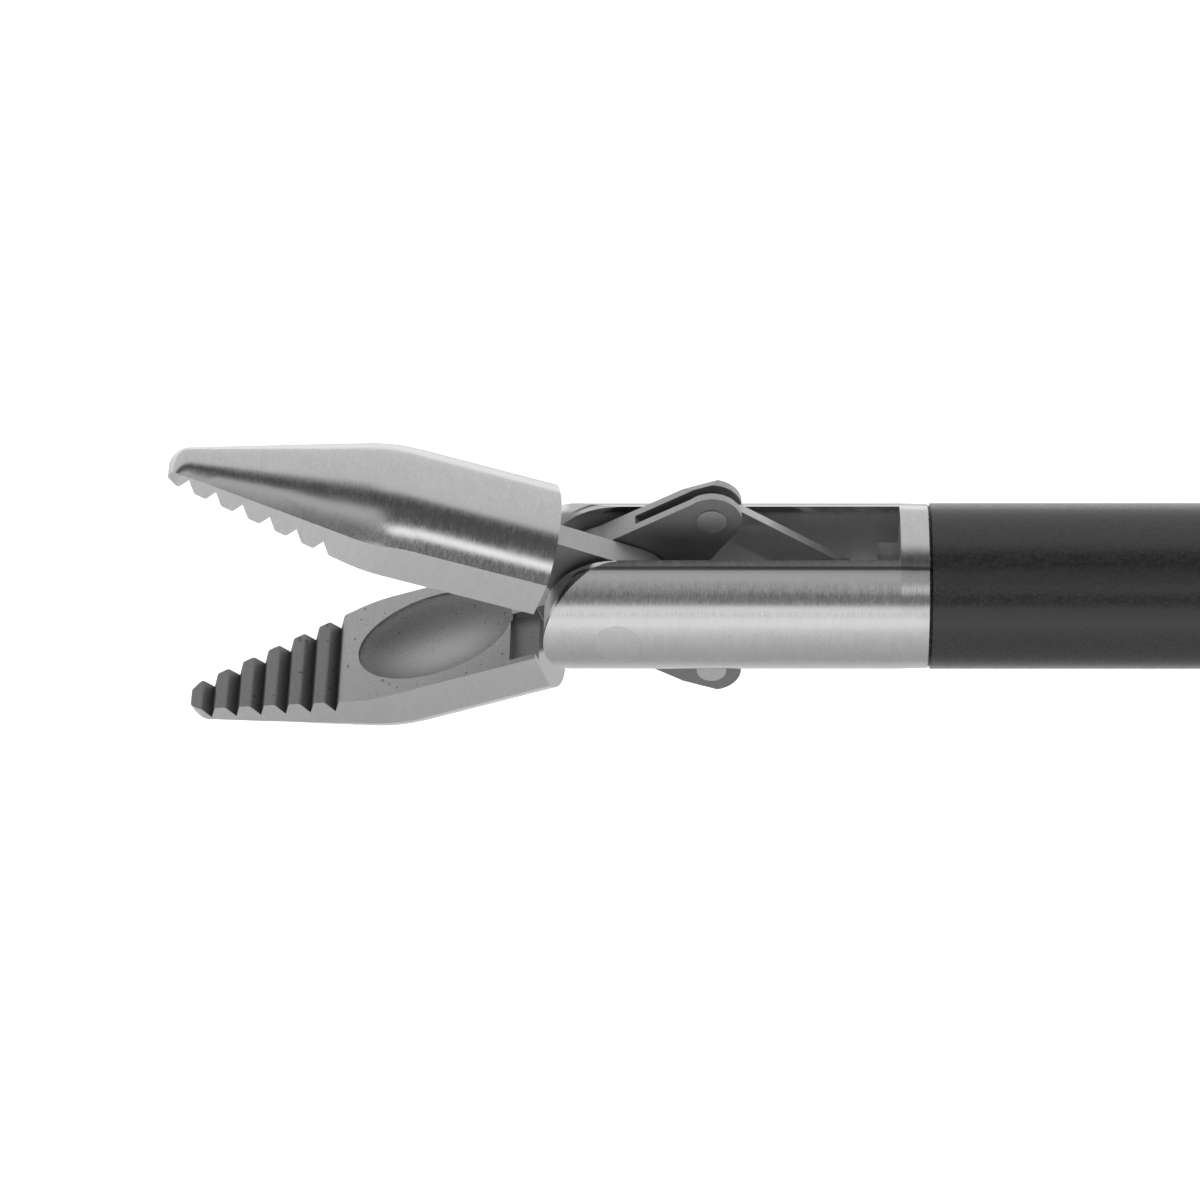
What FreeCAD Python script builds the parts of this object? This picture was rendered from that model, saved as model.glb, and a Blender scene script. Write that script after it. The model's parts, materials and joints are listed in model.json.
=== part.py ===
import FreeCAD, Part
import math
import os
import re
import Sketcher

# Laparoscopic grasper with two toothed jaws, a 5 mm shaft and a ring handle.
# Frame: the shaft lies along X, jaws towards -X, handle towards +X, jaw pins along Y, handle flat in XY.
# The origin is on the shaft's axis, at the front end of the insulating sleeve.

SIZES = [
    # alias, value, meaning
    ("shaft_dia", 5.0, "outside of the sleeve, the yoke and the closed jaws"),
    ("sleeve_wall", 0.2, "black insulating sleeve"),
    ("tube_wall", 0.4, "steel shaft tube"),
    ("seat_ease", 0.02, "yoke's rear ring and the sleeve's end in the knob, under the shaft's radius"),
    ("sleeve_bare", 0.2, "end of the sleeve's full radius to the knob"),
    ("rod_dia", 1.6, "push rod inside the tube"),
    ("working_length", 330.0, "jaw tips to the front of the knob"),
    ("pivot_back", 9.4, "sleeve end to jaw pivot"),
    ("open_angle", 20.0, "each jaw off the axis as modelled"),
    ("jaw_length", 14.1, "pivot to jaw tip"),
    ("jaw_heel", 2.65, "pivot to the jaw's square rear face"),
    ("jaw_width", 4.28, "across the flat sides"),
    ("jaw_gap", 0.03, "half of the gap between closed jaws"),
    ("taper_start", 8.0, "pivot to where the sides start to taper"),
    ("back_start", 7.7, "pivot to where the round back starts to taper"),
    ("tip_width", 1.16, "across the blunt tip"),
    ("tip_height", 0.7, "round back at the tip"),
    ("tip_bevel", 0.26, "bevelled corners of the tip, seen from above"),
    ("nose_round", 0.62, "rounding of the tip"),
    ("tooth_count", 6, "grooves across each jaw"),
    ("tooth_first", 9.34, "pivot to the first groove's bottom"),
    ("tooth_pitch", 0.84, "groove to groove"),
    ("tooth_depth", 0.42, "crest to groove bottom"),
    ("tooth_face", 0.19, "length of a groove's steep side"),
    ("tooth_slope", 0.27, "length of a groove's gentle side"),
    ("tooth_round", 0.1, "rounding of a tooth's crest"),
    ("cup_start", 3.45, "pivot to the near end of the scooped cup"),
    ("cup_length", 5.05, "cup along the jaw"),
    ("cup_width", 3.4, "cup across the jaw"),
    ("cup_depth", 0.95, "cup below the inner face"),
    ("ledge_length", 0.83, "sunk ledge behind the cup"),
    ("ledge_depth", 0.3, "ledge below the inner face"),
    ("ledge_rim", 0.2, "rim left beside the ledge"),
    ("heel_outer", 0.88, "outer cheek of a jaw's heel, off the middle plane"),
    ("heel_inner", 0.03, "inner cheek of a jaw's heel, off the middle plane"),
    ("heel_radius", 1.75, "heel round the jaw pivot"),
    ("heel_height", 1.9, "neck between heel and jaw body"),
    ("boss_radius", 1.3, "washer face round the jaw pivot"),
    ("tang_length", 3.91, "jaw pivot to knuckle pin"),
    ("tang_angle", 23.7, "tang off the axis with the jaws closed"),
    ("tang_radius", 0.9, "round end of the tang"),
    ("ply", 0.25, "thickness of each of the tang's two cheeks"),
    ("link_length", 4.73, "knuckle pin to rod pin"),
    ("link_radius", 0.6, "half of the link's height"),
    ("link_play", 0.025, "side clearance of link, tang and blade"),
    ("knuckle_pin", 0.3, "radius of the knuckle pins"),
    ("knuckle_play", 0.09, "radial clearance of the links on the knuckle pins"),
    ("link_pin", 0.35, "radius of the pin in the rod's blade"),
    ("jaw_pin", 0.7, "radius of the jaw pivot pin"),
    ("pin_play", 0.03, "radial clearance of the other pins"),
    ("head_proud", 0.06, "riveted heads of the knuckle pins"),
    ("arm_front", 2.2, "pivot to the round front of the yoke's arms"),
    ("slot_half", 1.15, "half of the yoke's slot"),
    ("slot_back", 8.46, "pivot to the square end of the slot"),
    ("edge_break", 0.1, "broken edges of the yoke"),
    ("spigot_length", 8.0, "yoke's spigot in the tube"),
    ("bore_radius", 1.35, "yoke's bore for the rod"),
    ("blade_length", 3.1, "rod pin to the crimped socket"),
    ("socket_length", 6.0, "crimped socket on the rod"),
    ("socket_wall", 0.3, "wall of the crimped socket"),
    ("knob_length", 24.0, "rotation knob"),
    ("knob_dia", 25.0, "across the knob's ribs"),
    ("knob_nose", 12.0, "across the knob's front face"),
    ("flute_count", 8, "finger flutes round the knob"),
    ("flute_radius", 4.6, "radius of a flute"),
    ("flute_reach", 15.2, "flute's centre off the axis"),
    ("hub_radius", 5.0, "metal hub of the shaft"),
    ("hub_play", 0.05, "radial clearance of the hub in the handle"),
    ("hub_seat", 6.0, "knob's front face to the hub"),
    ("hub_bore", 16.0, "tube's seat in the hub"),
    ("hub_chamfer", 0.4, "chamfered ends of the hub"),
    ("hub_tail", 1.2, "hub behind the retaining ring"),
    ("wash_hole", 0.8, "radius of the rinsing hole through the hub"),
    ("sleeve_stop", 2.0, "rear end of the black sleeve to the hub"),
    ("knob_counter", 5.0, "counterbore in the knob's rear face"),
    ("knob_room", 3.0, "that counterbore outside the hub"),
    ("knob_gap", 0.5, "knob to handle"),
    ("wall_front", 4.0, "handle's front wall"),
    ("wash_room", 6.0, "rinsing chamber round the hub"),
    ("wall_back", 4.0, "wall behind the rinsing chamber"),
    ("chamber_radius", 6.3, "rinsing chamber"),
    ("clip_width", 1.0, "retaining ring behind the wall"),
    ("clip_depth", 0.6, "retaining ring's groove in the hub"),
    ("clip_rise", 1.1, "retaining ring outside the hub"),
    ("clip_play", 0.1, "retaining ring to the handle's wall"),
    ("clip_gap", 1.2, "half of the gap in the retaining ring"),
    ("clip_room", 1.3, "room round the hub for the retaining ring"),
    ("ring_section", 0.5, "radius of an O-ring's section"),
    ("ring_squeeze", 0.04, "O-rings proud of the hub"),
    ("seal_place", 30.0, "knob's front face to the nearer seal on the rod"),
    ("seal_pitch", 6.0, "seal to seal"),
    ("seal_length", 3.0, "a seal along the rod"),
    ("seal_play", 0.04, "bore of a seal round the rod"),
    ("shell_half", 7.4, "half of the handle's thickness"),
    ("shell_round", 1.6, "rounding of the handle's outer edges"),
    ("lever_half", 3.0, "half of the lever's thickness"),
    ("lever_play", 0.25, "lever to each cheek of the handle"),
    ("claw_arm", 6.0, "lever pivot to the rod's ball"),
    ("claw_place", 24.0, "handle's front face to the lever pivot"),
    ("ball_radius", 1.9, "ball on the rod's end"),
    ("ball_play", 0.1, "ball in the lever's claw"),
    ("claw_wall", 1.4, "claw in front of and behind the ball"),
    ("claw_over", 0.5, "claw beyond the ball"),
    ("claw_slit", 0.25, "slit of the claw beside the rod"),
    ("screw_radius", 1.5, "lever pivot screw"),
    ("case_screw", 1.25, "case screws"),
    ("head_flush", 0.2, "screw heads under the handle's outside"),
    ("blind_wall", 1.6, "handle's wall past the ends of the case screws"),
    ("middle_screw_place", 6.0, "handle's front face to the middle case screw"),
    ("middle_screw_drop", 14.0, "shaft axis to the middle case screw"),
    ("top_screw_place", 31.0, "handle's front face to the top case screw"),
    ("top_screw_inset", 4.0, "housing's top to the top case screw"),
    ("stem_screw_place", 8.0, "handle's front face to the stem's case screw"),
    ("stem_screw_drop", 22.5, "shaft axis to the stem's case screw"),
    ("lever_reach_x", 38.0, "lever pivot to thumb ring, along the shaft"),
    ("lever_drop", 54.0, "lever pivot to thumb ring, below it"),
    ("lever_rear", 7.0, "lever pivot to the rear corner under the claw"),
    ("lever_front", 6.0, "lever pivot to the front corner under the claw"),
    ("lever_neck", 4.0, "drop of that front corner"),
    ("stem_half", 6.3, "half of the stems' width at the rings"),
    ("mouth_round", 1.5, "rounding where a stem meets its ring"),
    ("shoulder_round", 8.0, "rounding of the rings beside their stems"),
    ("housing_top", 12.0, "shaft axis to the top of the housing"),
    ("housing_length", 38.0, "handle's front face to the housing's rear corner"),
    ("housing_slant", 6.0, "lean of the housing's back"),
    ("back_drop", 5.0, "shaft axis to the housing's rear corner"),
    ("belly_place", 31.0, "handle's front face to the housing's low rear corner"),
    ("belly_drop", 18.0, "shaft axis to the housing's low rear corner"),
    ("stem_place", 17.0, "handle's front face to the top of the stem's rear side"),
    ("stem_drop", 21.0, "shaft axis to the top of the stem's rear side"),
    ("front_drop", 14.0, "shaft axis to the housing's low front corner"),
    ("front_round", 3.0, "housing's top front corner"),
    ("crown_round", 7.0, "housing's top rear corner"),
    ("palm_round", 8.0, "housing's rear and low front corners"),
    ("belly_round", 5.0, "housing's low rear corner"),
    ("stem_round", 4.0, "top of the stem's rear side"),
    ("cavity_top", 4.5, "shaft axis to the roof of the lever's room"),
    ("cavity_drop", 30.0, "shaft axis to the low end of the lever's room"),
    ("cavity_low", 20.0, "handle's front face to the low end of the lever's room"),
    ("cavity_step", 1.5, "lean of the front of the lever's room"),
    ("root_front", 5.0, "handle's front face to the ratchet bar's pocket"),
    ("root_back", 22.0, "handle's front face to the end of that pocket"),
    ("root_top", 26.0, "shaft axis to that pocket's top"),
    ("root_low", 38.0, "shaft axis to that pocket's bottom"),
    ("head_depth", 1.8, "sunk heads of the handle's screws"),
    ("thumb_half_x", 11.5, "half of the thumb ring's opening"),
    ("thumb_half_y", 14.5, "half of the thumb ring's opening"),
    ("finger_place", 4.0, "handle's front face to the finger ring"),
    ("finger_drop", 62.0, "shaft axis to the finger ring"),
    ("finger_half_x", 11.5, "half of the finger ring's opening"),
    ("finger_half_y", 19.0, "half of the finger ring's opening"),
    ("ring_wall", 4.6, "rings round their liners"),
    ("liner_wall", 1.2, "soft liners in the rings"),
    ("liner_proud", 0.4, "liners proud of their rings"),
    ("ring_step", 1.4, "thumb ring inside the handle's thickness, each side"),
    ("ring_tilt", 12.0, "lean of both rings"),
    ("rack_radius", 27.0, "lever pivot to the ratchet's tooth tips"),
    ("rack_width", 4.0, "ratchet bar, tooth tips to its back"),
    ("rack_half", 1.0, "half of the ratchet bar's thickness"),
    ("rack_teeth", 9, "ratchet teeth"),
    ("rack_step", 3.2, "angle from one ratchet tooth to the next"),
    ("rack_notch", 0.8, "depth of a ratchet tooth"),
    ("rack_slope", 1.38, "gentle side of a ratchet tooth, along the bar"),
    ("rack_steep", 0.22, "steep side of a ratchet tooth, along the bar"),
    ("rack_span", 88.0, "angle that the ratchet bar covers"),
    ("rack_start", 126.0, "start of the ratchet bar, turned down from the shaft's line"),
    ("rack_play", 0.3, "ratchet bar to the sides of the lever's slot"),
    ("window_before", 2.0, "lever's slot before the ratchet's teeth tips"),
    ("window_behind", 4.0, "lever's slot behind the catch's pin"),
    ("window_half", 12.0, "half of the lever's slot, across the stem"),
    ("rivet_first", 5.0, "start of the ratchet bar to the first rivet, as an angle"),
    ("rivet_step", 6.0, "rivet to rivet, as an angle"),
    ("rivet_radius", 1.0, "rivets of the ratchet bar"),
    ("catch_rise", 6.5, "ratchet bar to the catch's pin"),
    ("catch_pin", 1.0, "pin of the catch"),
    ("catch_gap", 0.45, "nose to the teeth, switched off"),
    ("catch_turn", 10.0, "turn of the catch between off and on"),
    ("nose_ahead", 6.0, "catch's pin to its nose, along the bar"),
    ("nose_toe", 0.7, "catch's nose in front of its edge"),
    ("nose_heel", 0.4, "catch's nose behind its edge"),
    ("nose_rise", 1.2, "height of the catch's nose"),
    ("tab_start", 9.0, "catch's pin to the start of its thumb tab"),
    ("tab_end", 15.5, "catch's pin to the end of its thumb tab"),
    ("port_radius", 3.3, "rinsing port"),
    ("port_length", 13.0, "rinsing port above the handle"),
    ("luer_radius", 2.05, "bore in the port's mouth"),
    ("luer_depth", 7.5, "depth of that bore"),
    ("luer_step", 0.9, "that bore outside the passage below it"),
    ("port_foot", 4.0, "port's foot in the handle"),
    ("port_flange", 0.6, "flange at the port's foot, outside the port"),
    ("flange_height", 1.2, "height of that flange"),
    ("lock_rim", 0.5, "collar at the port's mouth, outside the port"),
    ("lock_height", 2.4, "height of that collar"),
    ("cap_play", 0.2, "cap to the port's mouth"),
    ("cap_wall", 1.0, "wall of the cap"),
    ("cap_skirt", 2.0, "cap over the port"),
    ("cap_top", 2.2, "cap above the port's mouth"),
    ("post_radius", 2.0, "electrode post"),
    ("post_collar", 1.8, "collar of the post, outside the post"),
    ("collar_height", 2.5, "height of that collar"),
    ("leaf_wall", 0.3, "spring leaf under the post"),
    ("leaf_half", 1.5, "half of the leaf's width"),
    ("leaf_play", 0.06, "leaf's tip to the rod"),
    ("post_length", 12.0, "electrode post above its collar"),
]

DOC = FreeCAD.newDocument("Grasper")
SHEET = DOC.addObject("Spreadsheet::Sheet", "Sizes")
for row, (alias, value, meaning) in enumerate(SIZES, start=1):
    SHEET.set(f"A{row}", alias)
    SHEET.set(f"B{row}", str(value))
    SHEET.setAlias(f"B{row}", alias)
    SHEET.set(f"C{row}", meaning)
DOC.recompute()
ALIASES = {alias for alias, _, _ in SIZES}

# Places that several pieces share, as formulas of the sheet's values.
PIVOT = "(-pivot_back)"
SHAFT_R = "(shaft_dia / 2)"
TUBE_R = "(shaft_dia / 2 - sleeve_wall)"
TUBE_IN = "(shaft_dia / 2 - sleeve_wall - tube_wall)"
ROD_R = "(rod_dia / 2)"
TANG_NOW = "(tang_angle + open_angle)"
LINK_RISE = "(tang_length * sin(tang_angle + open_angle))"
LINK_RUN = f"sqrt(link_length ^ 2 - {LINK_RISE} ^ 2)"
LINK_ANGLE = f"asin({LINK_RISE} / link_length)"
ROD_PIN = f"(tang_length * cos(tang_angle + open_angle) + {LINK_RUN} - pivot_back)"
LINK_MIDDLE = "((heel_outer + heel_inner) / 2)"
LINK_HALF = "((heel_outer - heel_inner) / 2 - ply - link_play)"
BLADE_HALF = f"({LINK_MIDDLE} - {LINK_HALF} - link_play)"
KNOB_FRONT = "(working_length - jaw_length - pivot_back)"
SLEEVE_END = f"({KNOB_FRONT} - sleeve_bare)"
BODY_FRONT = f"({KNOB_FRONT} + knob_length + knob_gap)"
HUB_START = f"({KNOB_FRONT} + hub_seat)"
WALLS = "(wall_front + wash_room + wall_back)"
HUB_END = f"({BODY_FRONT} + {WALLS} + clip_width + hub_tail)"
LEVER_X = f"({BODY_FRONT} + claw_place)"
LEVER_Y = "(-claw_arm)"
CAVITY_HALF = "(lever_half + lever_play)"
THUMB_X = f"({LEVER_X} + lever_reach_x)"
THUMB_Y = f"({LEVER_Y} - lever_drop)"
FINGER_X = f"({BODY_FRONT} + finger_place)"
FINGER_Y = "(-finger_drop)"
FINGER_OUT_X = "(finger_half_x + liner_wall + ring_wall)"
FINGER_OUT_Y = "(finger_half_y + liner_wall + ring_wall)"
THUMB_OUT_X = "(thumb_half_x + liner_wall + ring_wall)"
THUMB_OUT_Y = "(thumb_half_y + liner_wall + ring_wall)"
FINGER_TILT = "(-ring_tilt)"
THUMB_TILT = "(atan(lever_reach_x / lever_drop) / 1 deg)"
CASE_HEAD = "(case_screw * 1.8)"
LEVER_HEAD = "(screw_radius * 2)"
SCREW_SPOTS = [
    (f"({BODY_FRONT} + middle_screw_place)", "(-middle_screw_drop)"),
    (f"({BODY_FRONT} + top_screw_place)", "(housing_top - top_screw_inset)"),
    (f"({BODY_FRONT} + stem_screw_place)", "(-stem_screw_drop)"),
]
PORT_X = f"({BODY_FRONT} + wall_front + wash_room / 2)"
PORT_TOP = "(housing_top + port_length)"

# The ratchet: its first tooth lies where the nose meets it two steps before the jaws close.
RACK_OUTER = "(rack_radius + rack_width)"
RACK_MIDDLE = "(rack_radius + rack_width / 2)"
RACK_START = "(-rack_start)"
RIVET_ANGLES = [f"({RACK_START} + rivet_first)", f"({RACK_START} + rivet_first + rivet_step)"]
RIVET_SPOTS = [
    (f"{LEVER_X} + {RACK_MIDDLE} * cos({angle})", f"{LEVER_Y} + {RACK_MIDDLE} * sin({angle})")
    for angle in RIVET_ANGLES
]
CATCH_PLACE = f"({RACK_OUTER} + catch_rise)"
NOSE_Y = f"({CATCH_PLACE} - sqrt({RACK_OUTER} ^ 2 - nose_ahead ^ 2))"
NOSE_HIT_X = f"(nose_ahead * cos(catch_turn) - ({NOSE_Y} - catch_gap) * sin(catch_turn))"
NOSE_HIT_Y = f"(({NOSE_Y} - catch_gap) * cos(catch_turn) + nose_ahead * sin(catch_turn))"
NOSE_ANGLE = f"(atan({NOSE_HIT_X} / ({CATCH_PLACE} - {NOSE_HIT_Y})) / 1 deg)"
RACK_FIRST = f"(-90 + {THUMB_TILT} - {NOSE_ANGLE} - rack_step * (rack_teeth - 3) - ({RACK_START}))"


def bind(formula):
    """Point each size named in a formula at its cell in the sheet."""
    return re.sub(r"[a-z_]+", lambda m: "Sizes." + m[0] if m[0] in ALIASES else m[0], str(formula))


def size(formula):
    """The present value of a formula, in millimetres or degrees."""
    value = SHEET.evalExpression(bind(formula))
    return float(getattr(value, "Value", value))


def point(x, y):
    """A point of a sketch, from two formulas."""
    return FreeCAD.Vector(size(x), size(y), 0)


def pin_point(sketch, geo, end, x, y):
    """Fix one point of a sketch at two formulas."""
    for kind, formula in (("DistanceX", x), ("DistanceY", y)):
        index = sketch.addConstraint(Sketcher.Constraint(kind, -1, 1, geo, end, size(formula)))
        sketch.setExpression(f"Constraints[{index}]", bind(formula))


def draw_circle(sketch, x, y, radius):
    """A circle whose centre and radius are bound to the sheet."""
    circle = Part.Circle(point(x, y), FreeCAD.Vector(0, 0, 1), size(radius))
    geo = sketch.addGeometry(circle, False)
    index = sketch.addConstraint(Sketcher.Constraint("Radius", geo, size(radius)))
    sketch.setExpression(f"Constraints[{index}]", bind(radius))
    pin_point(sketch, geo, 3, x, y)


def corner_cut(before, corner, after, radius):
    """Where a rounding of this radius touches the two sides of a corner, and its centre."""
    to_before = (before - corner).normalize()
    to_after = (after - corner).normalize()
    half = to_before.getAngle(to_after) / 2
    reach = radius / math.tan(half)
    middle = (to_before + to_after).normalize()
    centre = corner + middle * (radius / math.sin(half))
    return corner + to_before * reach, corner + to_after * reach, centre


def rounding_arc(start, end, centre, radius):
    """The short arc from start to end, and which of its ends is the start."""
    angles = [math.atan2((p - centre).y, (p - centre).x) for p in (start, end)]
    anticlockwise = (angles[1] - angles[0]) % (2 * math.pi) < math.pi
    low, high = angles if anticlockwise else reversed(angles)
    circle = Part.Circle(centre, FreeCAD.Vector(0, 0, 1), radius)
    return Part.ArcOfCircle(circle, low, high), (1, 2) if anticlockwise else (2, 1)


def draw_outline(sketch, corners):
    """Closed outline of corners (x, y) or (x, y, rounding radius), all bound to the sheet."""
    spots = [point(c[0], c[1]) for c in corners]
    count = len(corners)
    cuts = []
    for i, corner in enumerate(corners):
        around = spots[i - 1], spots[i], spots[(i + 1) % count]
        cuts.append(corner_cut(*around, size(corner[2])) if len(corner) > 2 else (spots[i], spots[i], None))
    lines = []
    for i in range(count):
        segment = Part.LineSegment(cuts[i][1], cuts[(i + 1) % count][0])
        lines.append(sketch.addGeometry(segment, False))
    for i, corner in enumerate(corners):
        incoming, outgoing = lines[i - 1], lines[i]
        start, end, centre = cuts[i]
        if centre is None:
            sketch.addConstraint(Sketcher.Constraint("Coincident", incoming, 2, outgoing, 1))
            pin_point(sketch, outgoing, 1, corner[0], corner[1])
            continue
        arc, (first, last) = rounding_arc(start, end, centre, size(corner[2]))
        geo = sketch.addGeometry(arc, False)
        mark = sketch.addGeometry(Part.Point(spots[i]), True)
        pin_point(sketch, mark, 1, corner[0], corner[1])
        sketch.addConstraint([
            Sketcher.Constraint("PointOnObject", mark, 1, incoming),
            Sketcher.Constraint("PointOnObject", mark, 1, outgoing),
            Sketcher.Constraint("Tangent", incoming, 2, geo, first),
            Sketcher.Constraint("Tangent", geo, last, outgoing, 1),
        ])
        index = sketch.addConstraint(Sketcher.Constraint("Radius", geo, size(corner[2])))
        sketch.setExpression(f"Constraints[{index}]", bind(corner[2]))


class Piece:
    """A body whose features stand on its own origin planes."""

    NORMAL = {"XY_Plane": 1, "XZ_Plane": -1, "YZ_Plane": 1}

    def __init__(self, label, refine=True):
        self.body = DOC.addObject("PartDesign::Body", label)
        self.body.Label = label
        self.refine = refine
        self.count = 0

    def name(self, kind):
        self.count += 1
        return f"{self.body.Label}_{kind}_{self.count}"

    def plane(self, role):
        return next(f for f in self.body.Origin.OriginFeatures if f.Role == role)

    def sketch(self, role, shapes, level="0"):
        """A sketch at a level above an origin plane; a shape is a circle (x, y, r) or a list of corners."""
        sketch = self.body.newObject("Sketcher::SketchObject", self.name("sketch"))
        sketch.AttachmentSupport = [(self.plane(role), "")]
        sketch.MapMode = "FlatFace"
        sketch.setExpression("AttachmentOffset.Base.z", bind(level))
        for shape in shapes:
            if isinstance(shape, tuple):
                draw_circle(sketch, *shape)
            else:
                draw_outline(sketch, shape)
        return sketch

    def slab(self, kind, role, shapes, low, high):
        """Push shapes through the stretch from low to high of the plane's own axis."""
        level = low if self.NORMAL[role] > 0 else f"-({high})"
        sketch = self.sketch(role, shapes, level)
        feature = self.body.newObject(kind, self.name(kind.split("::")[1].lower()))
        feature.Profile = sketch
        feature.Refine = self.refine
        feature.setExpression("Length", bind(f"({high}) - ({low})"))
        sketch.Visibility = False
        return feature

    def settle(self, feature, before=None):
        """Recompute, and stop at a feature that fails or a cut that removes nothing."""
        DOC.recompute()
        if not self.body.Shape.isValid() or "Invalid" in feature.State:
            raise RuntimeError(f"{feature.Name} leaves a bad solid")
        if before is not None and not self.volume() < before - 1e-6:
            raise RuntimeError(f"{feature.Name} cuts nothing")
        return feature

    def pad(self, role, shapes, low, high):
        return self.settle(self.slab("PartDesign::Pad", role, shapes, low, high))

    def pocket(self, role, shapes, low, high):
        before = self.volume()
        feature = self.slab("PartDesign::Pocket", role, shapes, low, high)
        feature.Reversed = True
        return self.settle(feature, before)

    def turn(self, corners, role="XY_Plane"):
        """Turn an outline round the plane's first axis."""
        sketch = self.sketch(role, [corners])
        feature = self.body.newObject("PartDesign::Revolution", self.name("turn"))
        feature.Profile = sketch
        feature.Refine = self.refine
        feature.ReferenceAxis = (sketch, ["H_Axis"])
        return self.settle(feature)

    def groove(self, corners, role="XY_Plane"):
        before = self.volume()
        sketch = self.sketch(role, [corners])
        feature = self.body.newObject("PartDesign::Groove", self.name("groove"))
        feature.Profile = sketch
        feature.ReferenceAxis = (sketch, ["H_Axis"])
        return self.settle(feature, before)

    def volume(self):
        return self.body.Shape.Volume

    def repeat(self, feature, axis, step, count):
        """Copy a feature along an origin axis."""
        row = self.body.newObject("PartDesign::LinearPattern", self.name("row"))
        row.Originals = [feature]
        row.Direction = (next(f for f in self.body.Origin.OriginFeatures if f.Role == axis), [""])
        row.Reversed = True
        row.setExpression("Length", bind(f"({step}) * ({count} - 1)"))
        row.setExpression("Occurrences", bind(count))
        self.body.Tip = row
        return self.settle(row)

    def spread(self, feature, axis, count):
        """Copy a feature round an origin axis."""
        ring = self.body.newObject("PartDesign::PolarPattern", self.name("ring"))
        ring.Originals = [feature]
        ring.Axis = (next(f for f in self.body.Origin.OriginFeatures if f.Role == axis), [""])
        ring.Angle = 360
        ring.setExpression("Occurrences", bind(count))
        self.body.Tip = ring
        return self.settle(ring)

    def fillet(self, chooser, radius):
        """Round the edges that the chooser picks."""
        names = [f"Edge{i}" for i, edge in enumerate(self.body.Shape.Edges, start=1) if chooser(edge)]
        base = self.body.Tip
        feature = self.body.newObject("PartDesign::Fillet", self.name("fillet"))
        feature.Base = (base, names)
        feature.setExpression("Radius", bind(radius))
        return self.settle(feature)

    def place(self, x="0", y="0", z="0", axis=("0", "0", "1"), angle="0"):
        for key, formula in (("x", x), ("y", y), ("z", z)):
            self.body.setExpression(f"Placement.Base.{key}", bind(formula))
        self.body.Placement.Rotation.Axis = FreeCAD.Vector(*(size(a) for a in axis))
        for key, formula in zip("xyz", axis):
            self.body.setExpression(f"Placement.Rotation.Axis.{key}", bind(formula))
        self.body.setExpression("Placement.Rotation.Angle", bind(angle))
        DOC.recompute()


def tilted_box(x, y, half_x, half_y, radius, tilt):
    """Corners of a rounded rectangle that leans by an angle."""
    corners = []
    for sx, sy in ((-1, -1), (1, -1), (1, 1), (-1, 1)):
        across = f"({sx}) * ({half_x})"
        along = f"({sy}) * ({half_y})"
        corners.append((
            f"{x} + ({across}) * cos({tilt}) - ({along}) * sin({tilt})",
            f"{y} + ({across}) * sin({tilt}) + ({along}) * cos({tilt})",
            radius,
        ))
    return corners


def bar(x0, y0, r0, x1, y1, r1):
    """Four corners of a straight bar between two round ends."""
    length = f"sqrt((({x1}) - ({x0})) ^ 2 + (({y1}) - ({y0})) ^ 2)"
    run = f"((({x1}) - ({x0})) / {length})"
    rise = f"((({y1}) - ({y0})) / {length})"
    return [
        (f"{x0} + {r0} * {rise}", f"{y0} - {r0} * {run}"),
        (f"{x1} + {r1} * {rise}", f"{y1} - {r1} * {run}"),
        (f"{x1} - {r1} * {rise}", f"{y1} + {r1} * {run}"),
        (f"{x0} - {r0} * {rise}", f"{y0} + {r0} * {run}"),
    ]


def rod_shape(label, radius, start, end, axis="x", y="0", z="0"):
    """A plain round bar along an axis, from start to end."""
    turned = {"x": (0, 1, 0, 90), "y": (1, 0, 0, -90), "z": (0, 0, 1, 0)}[axis]
    item = DOC.addObject("Part::Cylinder", label)
    item.Label = label
    item.setExpression("Radius", bind(radius))
    item.setExpression("Height", bind(f"({end}) - ({start})"))
    item.Placement.Rotation = FreeCAD.Rotation(FreeCAD.Vector(*turned[:3]), turned[3])
    first, second = {"x": ("y", "z"), "y": ("x", "z"), "z": ("x", "y")}[axis]
    item.setExpression(f"Placement.Base.{axis}", bind(start))
    item.setExpression(f"Placement.Base.{first}", bind(y))
    item.setExpression(f"Placement.Base.{second}", bind(z))
    return item


def join(kind, label, parts):
    """A fuse, common or group of objects, in one node."""
    item = DOC.addObject(kind, label)
    item.Label = label
    if kind == "Part::Compound":
        item.Links = parts
    else:
        item.Shapes = parts
    DOC.recompute()
    return item


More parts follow.
